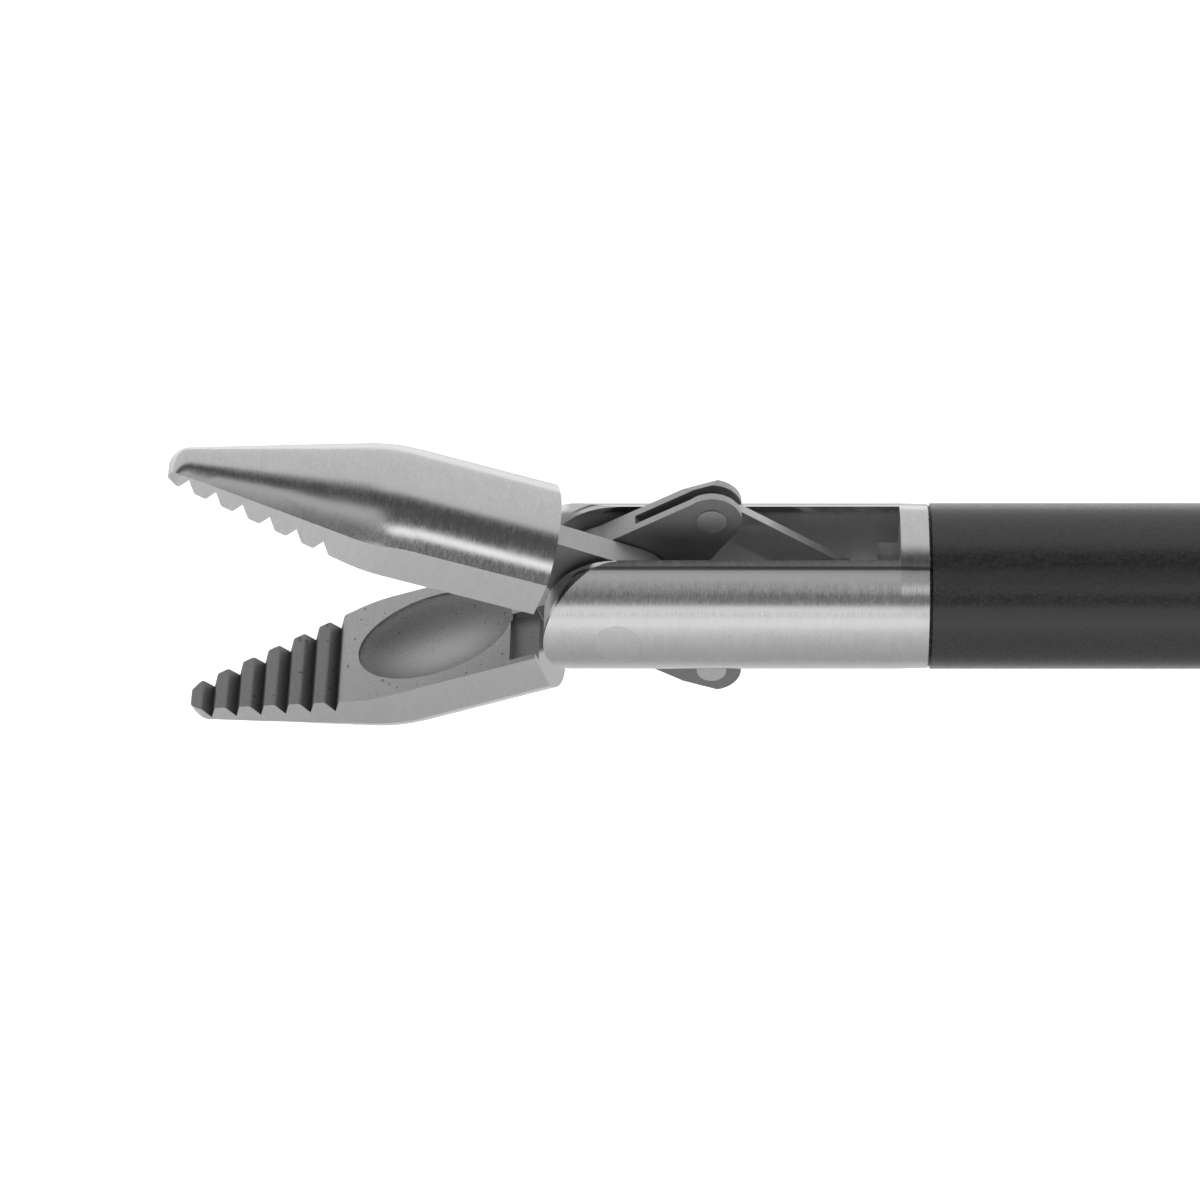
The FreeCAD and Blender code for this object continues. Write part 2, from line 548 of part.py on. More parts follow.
def jaw(label):
    """One jaw, drawn closed and lying above the parting plane, with its pivot at the origin."""
    piece = Piece(label)
    side = "(jaw_width / 2)"
    over = "(jaw_length + 1)"
    piece.turn([
        ("-jaw_length", "0"),
        ("-jaw_length", "tip_height", "nose_round"),
        ("-back_start", SHAFT_R, "6"),
        ("-jaw_heel", SHAFT_R),
        ("-jaw_heel", "0"),
    ])
    below = [(f"-{over}", "jaw_gap"), (f"-{over}", "-shaft_dia"), ("0", "-shaft_dia"), ("0", "jaw_gap")]
    piece.pocket("XZ_Plane", [below], "-shaft_dia", "shaft_dia")
    for sign in ("1", "-1"):
        flank = [
            ("0", f"{sign} * {side}"),
            ("-taper_start", f"{sign} * {side}", "4"),
            ("-jaw_length + tip_bevel", f"{sign} * tip_width / 2", "tip_bevel"),
            (f"-{over}", f"{sign} * (tip_width / 2 - tip_bevel - 1)"),
            (f"-{over}", f"{sign} * shaft_dia"),
            ("0", f"{sign} * shaft_dia"),
        ]
        piece.pocket("XY_Plane", [flank], "0", "shaft_dia")
    groove = piece.pocket("XZ_Plane", [[
        ("-tooth_first - tooth_face - tooth_round", "jaw_gap - tooth_round / 5"),
        ("-tooth_first - tooth_face", "jaw_gap + tooth_round / 5", "tooth_round"),
        ("-tooth_first", "jaw_gap + tooth_depth"),
        ("-tooth_first + tooth_slope", "jaw_gap + tooth_round / 5", "tooth_round"),
        ("-tooth_first + tooth_slope + tooth_round", "jaw_gap - tooth_round / 5"),
    ]], "-shaft_dia", "shaft_dia")
    piece.repeat(groove, "X_Axis", "tooth_pitch", "tooth_count")
    scoop(piece)
    ledge = [
        ("-jaw_heel - ledge_length", "jaw_gap - 0.1"),
        ("-jaw_heel - ledge_length", "jaw_gap + ledge_depth"),
        ("-jaw_heel + 0.1", "jaw_gap + ledge_depth"),
        ("-jaw_heel + 0.1", "jaw_gap - 0.1"),
    ]
    piece.pocket("XZ_Plane", [ledge], "0", f"{side} - ledge_rim")
    heel(piece)
    return piece


def scoop(piece):
    """The oval cup in a jaw's inner face."""
    before = piece.volume()
    cup = piece.body.newObject("PartDesign::SubtractiveEllipsoid", piece.name("cup"))
    cup.setExpression("Radius1", bind("cup_depth"))
    cup.setExpression("Radius2", bind("cup_length / 2"))
    cup.setExpression("Radius3", bind("cup_width / 2"))
    cup.setExpression("Placement.Base.x", bind("-cup_start - cup_length / 2"))
    cup.setExpression("Placement.Base.z", bind("jaw_gap"))
    piece.settle(cup, before)


def heel(piece):
    """Neck, pivot cheek and forked tang of a jaw, in the half of the yoke that the tang works in."""
    outer, inner = "-heel_outer", "-heel_inner"
    knuckle_x = "(tang_length * cos(tang_angle))"
    knuckle_z = "(-tang_length * sin(tang_angle))"
    neck = [
        ("-jaw_heel - 0.3", "jaw_gap"),
        ("-jaw_heel - 0.3", "heel_height"),
        ("0", "heel_radius"),
        ("0", "0"),
        ("-heel_radius", "jaw_gap"),
    ]
    piece.pad("XZ_Plane", [neck], outer, inner)
    piece.pad("XZ_Plane", [("0", "0", "heel_radius")], outer, inner)
    piece.pad("XZ_Plane", [bar("0", "0", "heel_radius", knuckle_x, knuckle_z, "tang_radius")], outer, inner)
    piece.pad("XZ_Plane", [(knuckle_x, knuckle_z, "tang_radius")], outer, inner)
    piece.pad("XZ_Plane", [("0", "0", "boss_radius")], "-slot_half + link_play", outer)
    fork_root = "(heel_radius + 0.25)"
    fork = bar(
        f"{fork_root} * cos(tang_angle)", f"-{fork_root} * sin(tang_angle)", "(tang_radius * 3)",
        f"{knuckle_x} * 2", f"{knuckle_z} * 2", "(tang_radius * 3)",
    )
    piece.pocket("XZ_Plane", [fork], "-heel_outer + ply", "-heel_inner - ply")
    piece.pocket("XZ_Plane", [("0", "0", "jaw_pin + pin_play")], "-shaft_dia", "shaft_dia")
    piece.pocket("XZ_Plane", [(knuckle_x, knuckle_z, "knuckle_pin")], "-shaft_dia", "shaft_dia")
    piece.groove([
        ("-jaw_length - 1", SHAFT_R), ("-jaw_length - 1", "shaft_dia * 2"),
        (f"{knuckle_x} * 2", "shaft_dia * 2"), (f"{knuckle_x} * 2", SHAFT_R),
    ])


def jaws():
    """Both jaws at their opening as modelled: the lower one is the upper one turned over."""
    upper = jaw("upper_jaw")
    upper.place(x=PIVOT, axis=("0", "1", "0"), angle="open_angle")
    lower = jaw("lower_jaw")
    lower.place(x=PIVOT, axis=("cos(open_angle / 2)", "0", "sin(open_angle / 2)"), angle="180")
    return [upper.body, lower.body]


def jaw_pivot_pin():
    """Pin across the yoke, ground flush with its round outside."""
    pin = rod_shape("jaw_pivot_pin_bar", "jaw_pin", "-shaft_dia", "shaft_dia", "y", PIVOT)
    skin = rod_shape("jaw_pivot_pin_skin", SHAFT_R, "-pivot_back - shaft_dia", "-pivot_back + shaft_dia")
    return join("Part::MultiCommon", "jaw_pivot_pin", [pin, skin])


def knuckle_pins():
    """The two riveted pins between tangs and links."""
    pins = []
    for label, sign in (("upper", "1"), ("lower", "-1")):
        x = f"(tang_length * cos({TANG_NOW}) - pivot_back)"
        z = f"(-({sign}) * {LINK_RISE})"
        low, high = (("-heel_outer", "-heel_inner") if sign == "1" else ("heel_inner", "heel_outer"))
        shank = rod_shape(f"{label}_pin_shank", "knuckle_pin", low, high, "y", x, z)
        head = "knuckle_pin * 1.5"
        first = rod_shape(f"{label}_pin_head_a", head, f"{low} - head_proud", low, "y", x, z)
        last = rod_shape(f"{label}_pin_head_b", head, high, f"{high} + head_proud", "y", x, z)
        pins.append(join("Part::MultiFuse", f"{label}_knuckle_pin", [shank, first, last]))
    return pins


def link(label, side, angle):
    """Flat link from the rod pin, at its own origin, to the knuckle pin."""
    piece = Piece(label)
    low, high = f"{side} * {LINK_MIDDLE} - {LINK_HALF}", f"{side} * {LINK_MIDDLE} + {LINK_HALF}"
    piece.pad("XZ_Plane", [bar("-link_length", "0", "link_radius", "0", "0", "link_radius")], low, high)
    for x in ("-link_length", "0"):
        piece.pad("XZ_Plane", [(x, "0", "link_radius")], low, high)
    piece.pocket("XZ_Plane", [("-link_length", "0", "knuckle_pin + knuckle_play")], "-1", "1")
    piece.pocket("XZ_Plane", [("0", "0", "link_pin + pin_play")], "-1", "1")
    piece.place(x=ROD_PIN, axis=("0", "1", "0"), angle=angle)
    return piece.body


def rod_end():
    """Flat blade with its pin hole, widening into the socket crimped on the rod."""
    piece = Piece("rod_end")
    socket = f"({ROD_R} + socket_wall)"
    back = "(blade_length + socket_length)"
    piece.turn([
        ("blade_length - 0.8", "0"), ("blade_length - 0.8", "link_radius"),
        ("blade_length", socket), (back, socket), (back, "0"),
    ])
    piece.pad("XZ_Plane", [bar("0", "0", "link_radius", "blade_length", "0", "link_radius")],
              f"-{BLADE_HALF}", BLADE_HALF)
    piece.pad("XZ_Plane", [("0", "0", "link_radius")], f"-{BLADE_HALF}", BLADE_HALF)
    piece.pocket("XZ_Plane", [("0", "0", "link_pin")], "-1", "1")
    piece.pocket("YZ_Plane", [("0", "0", ROD_R)], "blade_length + 1", back)
    for ring in ("0.35", "0.65"):
        middle = f"(blade_length + socket_length * {ring})"
        piece.groove([
            (f"{middle} - 0.3", socket), (middle, f"{socket} - 0.12"), (f"{middle} + 0.3", socket),
            (f"{middle} + 0.3", f"{socket} + 0.2"), (f"{middle} - 0.3", f"{socket} + 0.2"),
        ])
    piece.place(x=ROD_PIN)
    return piece.body


def rod_line():
    """Rod pin, push rod, ball and the two seals on the rod."""
    reach = f"({LINK_MIDDLE} + {LINK_HALF} + 0.05)"
    pin = rod_shape("link_pin", "link_pin", f"-{reach}", reach, "y", ROD_PIN)
    rod = rod_shape("push_rod", ROD_R, f"{ROD_PIN} + blade_length + 1", f"{LEVER_X} - ball_radius * 0.8")
    ball = Piece("rod_ball")
    ball.turn([
        ("-ball_radius", "0"), ("-ball_radius", "ball_radius", "ball_radius * 0.99"),
        ("ball_radius", "ball_radius", "ball_radius * 0.99"), ("ball_radius", "0"),
    ])
    ball.pocket("YZ_Plane", [("0", "0", ROD_R)], "-ball_radius - 1", "-ball_radius * 0.8")
    ball.place(x=LEVER_X)
    seals = []
    for name, place in (("near", "seal_place"), ("far", "seal_place + seal_pitch")):
        start = f"({KNOB_FRONT} - ({place}))"
        outer = rod_shape(f"seal_outer_{name}", TUBE_IN, start, f"{start} + seal_length")
        inner = rod_shape(f"seal_inner_{name}", f"{ROD_R} + seal_play", f"{start} - 1",
                          f"{start} + seal_length + 1")
        seal = DOC.addObject("Part::Cut", f"seal_{name}")
        seal.Base = outer
        seal.Tool = inner
        seals.append(seal)
    DOC.recompute()
    return [pin, rod, ball.body, join("Part::Compound", "rod_seals", seals)]


def yoke():
    """Slotted fork that carries the jaws, with a spigot in the tube. Its own origin is the jaw pivot.

    The arms and the ring behind them stay separate round faces, so nothing is refined here.
    """
    piece = Piece("clevis", refine=False)
    piece.turn([
        ("-arm_front", "0"), ("-arm_front", SHAFT_R), ("slot_back", SHAFT_R),
        ("pivot_back - edge_break", f"{SHAFT_R} - seat_ease"), ("pivot_back", f"{SHAFT_R} - edge_break"),
        ("pivot_back", TUBE_IN), ("pivot_back + spigot_length", TUBE_IN),
        ("pivot_back + spigot_length", "0"),
    ])
    slot = [
        ("-arm_front - 1", "-slot_half"), ("slot_back", "-slot_half"),
        ("slot_back", "slot_half"), ("-arm_front - 1", "slot_half"),
    ]
    piece.pocket("XY_Plane", [slot], "-shaft_dia", "shaft_dia")
    nose = "(arm_front * 0.99)"
    piece.pocket("XZ_Plane", [[
        ("0", "-arm_front"), ("-arm_front", "-arm_front", nose), ("-arm_front", "arm_front", nose),
        ("0", "arm_front"), ("0", "shaft_dia"), ("-shaft_dia", "shaft_dia"),
        ("-shaft_dia", "-shaft_dia"), ("0", "-shaft_dia"),
    ]], "-shaft_dia", "shaft_dia")
    piece.pocket("YZ_Plane", [("0", "0", "bore_radius")], "slot_back - 0.6", "pivot_back + spigot_length + 1")
    piece.pocket("XZ_Plane", [("0", "0", "jaw_pin")], "-shaft_dia", "shaft_dia")
    piece.place(x=PIVOT)
    return piece.body


def sleeve(label, outer, inner, start, end):
    """A straight round tube along the shaft."""
    piece = Piece(label)
    piece.pad("YZ_Plane", [("0", "0", outer), ("0", "0", inner)], start, end)
    return piece.body


def insulation():
    """The black sleeve, a touch narrower where it goes into the knob."""
    piece = Piece("insulating_sleeve")
    end = f"({HUB_START} - sleeve_stop)"
    piece.turn([
        ("0", TUBE_R), ("0", SHAFT_R), (SLEEVE_END, SHAFT_R),
        (end, f"{SHAFT_R} - seat_ease"), (end, TUBE_R),
    ])
    return piece.body


def shaft_tubes():
    """The black sleeve and the steel tube in it."""
    return [
        insulation(),
        sleeve("shaft_tube", TUBE_R, TUBE_IN, "0", f"{HUB_START} + hub_bore"),
    ]


def hub():
    """Metal hub on the tube: knob seat, two O-ring grooves, rinsing hole and ring groove."""
    piece = Piece("shaft_hub")
    front = f"({BODY_FRONT} - {HUB_START})"
    end = f"({HUB_END} - {HUB_START})"
    piece.turn([
        ("0", TUBE_IN), ("0", "hub_radius - hub_chamfer"), ("hub_chamfer", "hub_radius"),
        (f"{end} - hub_chamfer", "hub_radius"), (end, "hub_radius - hub_chamfer"), (end, TUBE_IN),
    ])
    piece.pocket("YZ_Plane", [("0", "0", TUBE_R)], "-1", "hub_bore")
    for place in ("wall_front / 2", "wall_front + wash_room + wall_back / 2"):
        piece.groove(band(f"{front} + {place}", "ring_section * 1.2",
                          "hub_radius - ring_section * 2 + ring_squeeze"))
    piece.groove(band(f"{front} + {WALLS} + clip_width / 2", "clip_width / 2", "hub_radius - clip_depth"))
    middle = f"({front} + wall_front + wash_room / 2)"
    piece.pocket("XY_Plane", [(middle, "0", "wash_hole")], "-hub_radius - 1", "hub_radius + 1")
    piece.place(x=HUB_START)
    return piece.body


def band(middle, half, depth):
    """Outline of a square groove from a radius outwards."""
    return [
        (f"{middle} - {half}", depth), (f"{middle} - {half}", "hub_radius + 1"),
        (f"{middle} + {half}", "hub_radius + 1"), (f"{middle} + {half}", depth),
    ]


def knob():
    """Rotation knob: a bell with finger flutes round it, pressed on the hub."""
    piece = Piece("rotation_knob")
    half = "(knob_dia / 2)"
    piece.turn([
        ("0", SHAFT_R), ("0", "knob_nose / 2", "1"), ("knob_length * 0.35", f"{half} * 0.86", "8"),
        ("knob_length * 0.72", half, "3"), ("knob_length", half, "1.2"),
        ("knob_length", "hub_radius + knob_room"), ("knob_length - knob_counter", "hub_radius + knob_room"),
        ("knob_length - knob_counter", "hub_radius"), ("hub_seat", "hub_radius"), ("hub_seat", SHAFT_R),
    ])
    flute = piece.pocket("YZ_Plane", [("0", "flute_reach", "flute_radius")],
                         "knob_length * 0.22", "knob_length + 1")
    piece.spread(flute, "X_Axis", "flute_count")
    piece.place(x=KNOB_FRONT)
    return piece.body


def hub_rings():
    """O-rings in the hub's grooves, and the retaining ring behind the handle's wall."""
    rings = []
    for name, place in (("front", "wall_front / 2"), ("back", "wall_front + wash_room + wall_back / 2")):
        ring = DOC.addObject("Part::Torus", f"hub_o_ring_{name}")
        ring.setExpression("Radius1", bind("hub_radius + ring_squeeze - ring_section"))
        ring.setExpression("Radius2", bind("ring_section"))
        ring.Placement.Rotation = FreeCAD.Rotation(FreeCAD.Vector(0, 1, 0), 90)
        ring.setExpression("Placement.Base.x", bind(f"{BODY_FRONT} + {place}"))
        rings.append(ring)
    clip = Piece("retaining_ring")
    clip.pad("YZ_Plane", [("0", "0", "hub_radius + clip_rise"), ("0", "0", "hub_radius - clip_depth")],
             "clip_play", "clip_width")
    over = "hub_radius + clip_rise + 1"
    gap = [("0", "-clip_gap"), (over, "-clip_gap"), (over, "clip_gap"), ("0", "clip_gap")]
    clip.pocket("YZ_Plane", [gap], "-1", "clip_width + 1")
    clip.place(x=f"{BODY_FRONT} + {WALLS}")
    return [join("Part::Compound", "hub_o_rings", rings), clip.body]


def ring_mouth(x, y, half_y, tilt, half_stem, side):
    """Where one edge of a stem meets the upper side of a leaning ring."""
    return (
        f"{x} - ({half_y}) * sin({tilt}) + ({side}) * ({half_stem}) * cos({tilt})",
        f"{y} + ({half_y}) * cos({tilt}) + ({side}) * ({half_stem}) * sin({tilt})",
        "mouth_round",
    )


def shell_corners():
    """Side view of the handle: housing, stem and the outside of the finger ring, in one line."""
    x = BODY_FRONT
    mouth = (FINGER_X, FINGER_Y, FINGER_OUT_Y, FINGER_TILT, "stem_half")
    low_left, low_right, high_right, high_left = tilted_box(
        FINGER_X, FINGER_Y, FINGER_OUT_X, FINGER_OUT_Y, "finger_half_x + ring_wall", FINGER_TILT)
    return [
        (x, "housing_top", "front_round"),
        (f"{x} + housing_length - housing_slant", "housing_top", "crown_round"),
        (f"{x} + housing_length", "-back_drop", "palm_round"),
        (f"{x} + belly_place", "-belly_drop", "belly_round"),
        (f"{x} + stem_place", "-stem_drop", "stem_round"),
        ring_mouth(*mouth, "1"),
        high_right[:2] + ("shoulder_round",), low_right, low_left, high_left[:2] + ("shoulder_round",),
        ring_mouth(*mouth, "-1"),
        (x, "-front_drop", "palm_round"),
    ]


def handle_shell(label, side):
    """One half of the handle: housing, stem and finger ring, open inside for hub and lever."""
    piece = Piece(label)
    right = side == "1"
    low, high = ("0", "shell_half") if right else ("-shell_half", "0")
    piece.pad("XY_Plane", [shell_corners()], low, high)
    face = size(high) if right else size(low)
    piece.fillet(lambda edge: all(abs(v.Z - face) < 1e-6 for v in edge.Vertexes), "shell_round")
    through = ("-shell_half - 1", "shell_half + 1")
    hole = tilted_box(FINGER_X, FINGER_Y, "finger_half_x + liner_wall", "finger_half_y + liner_wall",
                      "finger_half_x", FINGER_TILT)
    piece.pocket("XY_Plane", [hole], *through)
    room = ("0", CAVITY_HALF) if right else (f"-{CAVITY_HALF}", "0")
    piece.pocket("XY_Plane", [cavity_corners()], *room)
    bearing(piece)
    root = ("0", "rack_half") if right else ("-rack_half", "0")
    piece.pocket("XY_Plane", [rack_root()], *root)
    holes(piece, right, through)
    return piece.body


def cavity_corners():
    """Room for the claw and the lever, open to the back and to the bottom."""
    x = BODY_FRONT
    over = "(housing_length + 12)"
    return [
        (f"{x} + {WALLS}", "cavity_top", "1.5"),
        (f"{x} + {over}", "cavity_top"),
        (f"{x} + {over}", "-cavity_drop"),
        (f"{x} + cavity_low", "-cavity_drop"),
        (f"{x} + {WALLS} + cavity_step", "-front_drop", "3"),
    ]


def bearing(piece):
    """Bores for the hub: two bearing walls with the rinsing chamber between, and the clip's room."""
    x = BODY_FRONT
    run = "(hub_radius + hub_play)"
    end = f"{x} + {WALLS} + clip_width + 2"
    piece.groove([
        (f"{x} - 1", "0"), (f"{x} - 1", run), (f"{x} + wall_front", run),
        (f"{x} + wall_front", "chamber_radius"), (f"{x} + wall_front + wash_room", "chamber_radius"),
        (f"{x} + wall_front + wash_room", run), (f"{x} + {WALLS}", run),
        (f"{x} + {WALLS}", "hub_radius + clip_room"), (end, "hub_radius + clip_room"), (end, "0"),
    ])


def rack_root():
    """Pocket in the stem where the ratchet bar is riveted."""
    x = BODY_FRONT
    return [
        (f"{x} + root_front", "-root_top"), (f"{x} + root_back", "-root_top"),
        (f"{x} + root_back", "-root_low"), (f"{x} + root_front", "-root_low"),
    ]


def holes(piece, right, through):
    """Holes for the case screws, the lever's screw, the rivets, the rinsing port and the post."""
    for x, y in SCREW_SPOTS:
        depth = through if right else ("-shell_half + blind_wall", "1")
        piece.pocket("XY_Plane", [(x, y, "case_screw")], *depth)
    piece.pocket("XY_Plane", [(LEVER_X, LEVER_Y, "screw_radius")], *through)
    for x, y in RIVET_SPOTS:
        piece.pocket("XY_Plane", [(x, y, "rivet_radius")], *through)
    top, low = "shell_half + 1", "shell_half - head_depth"
    if right:
        piece.pocket("XY_Plane", [(x, y, CASE_HEAD) for x, y in SCREW_SPOTS], low, top)
    sunk = (low, top) if right else (f"-({top})", f"-({low})")
    piece.pocket("XY_Plane", [(LEVER_X, LEVER_Y, LEVER_HEAD)], *sunk)
    piece.pocket("XZ_Plane", [(PORT_X, "0", "port_radius - 1")], "hub_radius", "housing_top + 1")
    piece.pocket("XZ_Plane", [(LEVER_X, "0", "post_radius")], "0", "housing_top + 1")


def case_screws():
    """Screws that hold the two halves, heads on the right side."""
    screws = []
    for number, (x, y) in enumerate(SCREW_SPOTS, start=1):
        top = "shell_half - head_flush"
        shank = rod_shape(f"screw_shank_{number}", "case_screw", "-shell_half + blind_wall",
                          "shell_half - head_depth", "z", x, y)
        head = rod_shape(f"screw_head_{number}", CASE_HEAD, "shell_half - head_depth", top, "z", x, y)
        socket = DOC.addObject("Part::Prism", f"screw_socket_{number}")
        socket.Polygon = 6
        socket.setExpression("Circumradius", bind("case_screw"))
        socket.setExpression("Height", bind("head_depth"))
        socket.setExpression("Placement.Base.x", bind(x))
        socket.setExpression("Placement.Base.y", bind(y))
        socket.setExpression("Placement.Base.z", bind(f"{top} - head_depth * 0.6"))
        whole = join("Part::MultiFuse", f"screw_{number}", [shank, head])
        screw = DOC.addObject("Part::Cut", f"case_screw_{number}")
        screw.Base = whole
        screw.Tool = socket
        screws.append(screw)
    DOC.recompute()
    return join("Part::Compound", "case_screws", screws)


def lever_corners():
    """Side view of the thumb lever from its pivot: claw, stem and the outside of the ring."""
    claw = "(ball_radius + ball_play + claw_wall)"
    top = "(claw_arm + ball_radius + claw_over)"
    low_left, low_right, high_right, high_left = tilted_box(
        "lever_reach_x", "-lever_drop", THUMB_OUT_X, THUMB_OUT_Y, "thumb_half_x + ring_wall", THUMB_TILT)
    mouth = ("lever_reach_x", "-lever_drop", THUMB_OUT_Y, THUMB_TILT, "stem_half")
    return [
        (f"-{claw}", top, "0.8"), (claw, top, "0.8"), (claw, "claw_arm / 2", "1.5"), ("lever_rear", "0", "3"),
        ring_mouth(*mouth, "1"),
        high_right[:2] + ("shoulder_round",), low_right, low_left, high_left[:2] + ("shoulder_round",),
        ring_mouth(*mouth, "-1"),
        ("-lever_front", "-lever_neck", "4"), (f"-{claw}", "claw_arm / 2", "2"),
    ]


def along_stem(reach, aside="0"):
    """A place on the lever's stem: so far from the pivot, and so far to the rear of its middle line."""
    return (
        f"({reach}) * sin({THUMB_TILT}) + ({aside}) * cos({THUMB_TILT})",
        f"-({reach}) * cos({THUMB_TILT}) + ({aside}) * sin({THUMB_TILT})",
    )


def thumb_lever():
    """Lever with the claw for the rod's ball, a slot for the ratchet bar and the thumb ring."""
    piece = Piece("thumb_lever")
    ring_half = "(shell_half - ring_step)"
    piece.pad("XY_Plane", [lever_corners()], "-lever_half", "lever_half")
    ring = tilted_box("lever_reach_x", "-lever_drop", THUMB_OUT_X, THUMB_OUT_Y,
                      "thumb_half_x + ring_wall", THUMB_TILT)
    piece.pad("XY_Plane", [ring], f"-{ring_half}", ring_half)
    face = size(ring_half)
    piece.fillet(lambda edge: all(abs(abs(v.Z) - face) < 1e-6 for v in edge.Vertexes), "shell_round")
    hole = tilted_box("lever_reach_x", "-lever_drop", "thumb_half_x + liner_wall",
                      "thumb_half_y + liner_wall", "thumb_half_x", THUMB_TILT)
    through = ("-shell_half - 1", "shell_half + 1")
    piece.pocket("XY_Plane", [hole], *through)
    piece.pocket("XY_Plane", [("0", "0", "screw_radius + pin_play")], *through)
    piece.pocket("XZ_Plane", [("0", "0", "ball_radius + ball_play")],
                 "claw_arm - ball_radius - claw_over", "15")
    neck = f"({ROD_R} + claw_slit)"
    front = [("-10", "claw_arm - ball_radius"), ("0", "claw_arm - ball_radius"), ("0", "15"), ("-10", "15")]
    piece.pocket("XY_Plane", [front], f"-{neck}", neck)
    gap = "(rack_half + rack_play)"
    window = [along_stem(reach, aside) for reach, aside in (
        ("rack_radius - window_before", "-window_half"), (f"{CATCH_PLACE} + window_behind", "-window_half"),
        (f"{CATCH_PLACE} + window_behind", "window_half"), ("rack_radius - window_before", "window_half"))]
    piece.pocket("XY_Plane", [window], f"-{gap}", gap)
    piece.pocket("XY_Plane", [along_stem(CATCH_PLACE) + ("catch_pin",)], *through)
    piece.place(x=LEVER_X, y=LEVER_Y)
    return piece.body


def liner(label, x, y, half_x, half_y, tilt, half):
    """Soft lining of a ring."""
    piece = Piece(label)
    outer = tilted_box(x, y, f"{half_x} + liner_wall", f"{half_y} + liner_wall", half_x, tilt)
    inner = tilted_box(x, y, half_x, half_y, f"{half_x} - liner_wall", tilt)
    piece.pad("XY_Plane", [outer, inner], f"-({half})", half)
    return piece.body


def lever_screw():
    """Shoulder screw that the lever swings on, with its slotted head and its nut."""
    inside = "(shell_half - head_depth)"
    shank = rod_shape("lever_screw_shank", "screw_radius", f"-{inside}", inside, "z", LEVER_X, LEVER_Y)
    face = "(shell_half - head_flush)"
    head = rod_shape("lever_screw_head", LEVER_HEAD, inside, face, "z", LEVER_X, LEVER_Y)
    whole = join("Part::MultiFuse", "lever_screw_whole", [shank, head])
    slot = DOC.addObject("Part::Box", "lever_screw_slot")
    slot.setExpression("Length", bind("screw_radius * 5"))
    slot.setExpression("Width", bind("screw_radius / 2"))
    slot.setExpression("Height", bind("head_depth"))
    slot.setExpression("Placement.Base.x", bind(f"{LEVER_X} - screw_radius * 2.5"))
    slot.setExpression("Placement.Base.y", bind(f"{LEVER_Y} - screw_radius / 4"))
    slot.setExpression("Placement.Base.z", bind(f"{face} - head_depth / 2"))
    screw = DOC.addObject("Part::Cut", "lever_screw")
    screw.Label = "lever_screw"
    screw.Base = whole
    screw.Tool = slot
    nut = rod_shape("lever_nut", LEVER_HEAD, f"-{face}", f"-{inside}", "z", LEVER_X, LEVER_Y)
    DOC.recompute()
    return [screw, nut]


def rack():
    """Curved ratchet bar, riveted in the stem and passing through the lever, with teeth on its outside."""
    piece = Piece("ratchet_bar")
    sketch = piece.sketch("XZ_Plane", [[
        ("rack_radius", "-rack_half"), (RACK_OUTER, "-rack_half"),
        (RACK_OUTER, "rack_half"), ("rack_radius", "rack_half"),
    ]])
    feature = piece.body.newObject("PartDesign::Revolution", piece.name("turn"))
    feature.Profile = sketch
    feature.ReferenceAxis = (sketch, ["V_Axis"])
    feature.setExpression("Angle", bind("rack_span"))
    piece.settle(feature)
    tip = f"({RACK_OUTER} - rack_notch)"
    over = f"({RACK_OUTER} + rack_notch / 2)"
    gentle, steep = (f"({side} * 1.5 / {RACK_OUTER} * 180 / pi)" for side in ("rack_slope", "rack_steep"))
    notch = piece.pocket("XY_Plane", [[
        (f"{over} * cos({RACK_FIRST} - {gentle})", f"{over} * sin({RACK_FIRST} - {gentle})"),
        (f"{tip} * cos({RACK_FIRST})", f"{tip} * sin({RACK_FIRST})"),
        (f"{over} * cos({RACK_FIRST} + {steep})", f"{over} * sin({RACK_FIRST} + {steep})"),
    ]], "-rack_half - 1", "rack_half + 1")
    teeth = piece.spread(notch, "Z_Axis", "rack_teeth")
    teeth.setExpression("Angle", bind("rack_step * (rack_teeth - 1)"))
    piece.settle(teeth)
    for angle in RIVET_ANGLES:
        local = f"({angle} - ({RACK_START}))"
        spot = (f"{RACK_MIDDLE} * cos({local})", f"{RACK_MIDDLE} * sin({local})", "rivet_radius")
        piece.pocket("XY_Plane", [spot], "-rack_half - 1", "rack_half + 1")
    piece.place(x=LEVER_X, y=LEVER_Y, angle=RACK_START)
    return piece.body


def catch():
    """Rocker with the ratchet's nose and a thumb tab, on a pin in the lever. Modelled switched off."""
    piece = Piece("ratchet_catch")
    half = ("-rack_half", "rack_half")
    nose_y = f"({NOSE_Y} - catch_gap)"
    piece.pad("XY_Plane", [[
        ("-nose_ahead - nose_toe", f"{nose_y} - nose_rise", "0.3"),
        ("-nose_ahead", nose_y),
        ("-nose_ahead + nose_heel", f"{nose_y} - nose_rise"),
        ("-nose_ahead + 3.4", "2.4", "2"), ("tab_start + 4", "1.6", "0.8"), ("tab_start + 4", "-1", "0.8"),
        ("1", "-2.6", "1.5"), ("-3", "-2.2", "1.5"), ("-nose_ahead - nose_toe", "2", "2"),
    ]], *half)
    tab = [
        ("tab_start", "3.2", "1"), ("tab_end", "3.8", "1.5"),
        ("tab_end", "-2", "1.5"), ("tab_start", "-1.4", "1"),
    ]
    piece.pad("XY_Plane", [tab], "-lever_half", "lever_half")
    piece.pocket("XY_Plane", [("0", "0", "catch_pin + pin_play")], "-5", "5")
    x, y = along_stem(CATCH_PLACE)
    piece.place(x=f"{LEVER_X} + {x}", y=f"{LEVER_Y} + {y}", angle=THUMB_TILT)
    pin = rod_shape("catch_pin", "catch_pin", "-lever_half", "lever_half", "z",
                    f"{LEVER_X} + {x}", f"{LEVER_Y} + {y}")
    DOC.recompute()
    return [piece.body, pin]


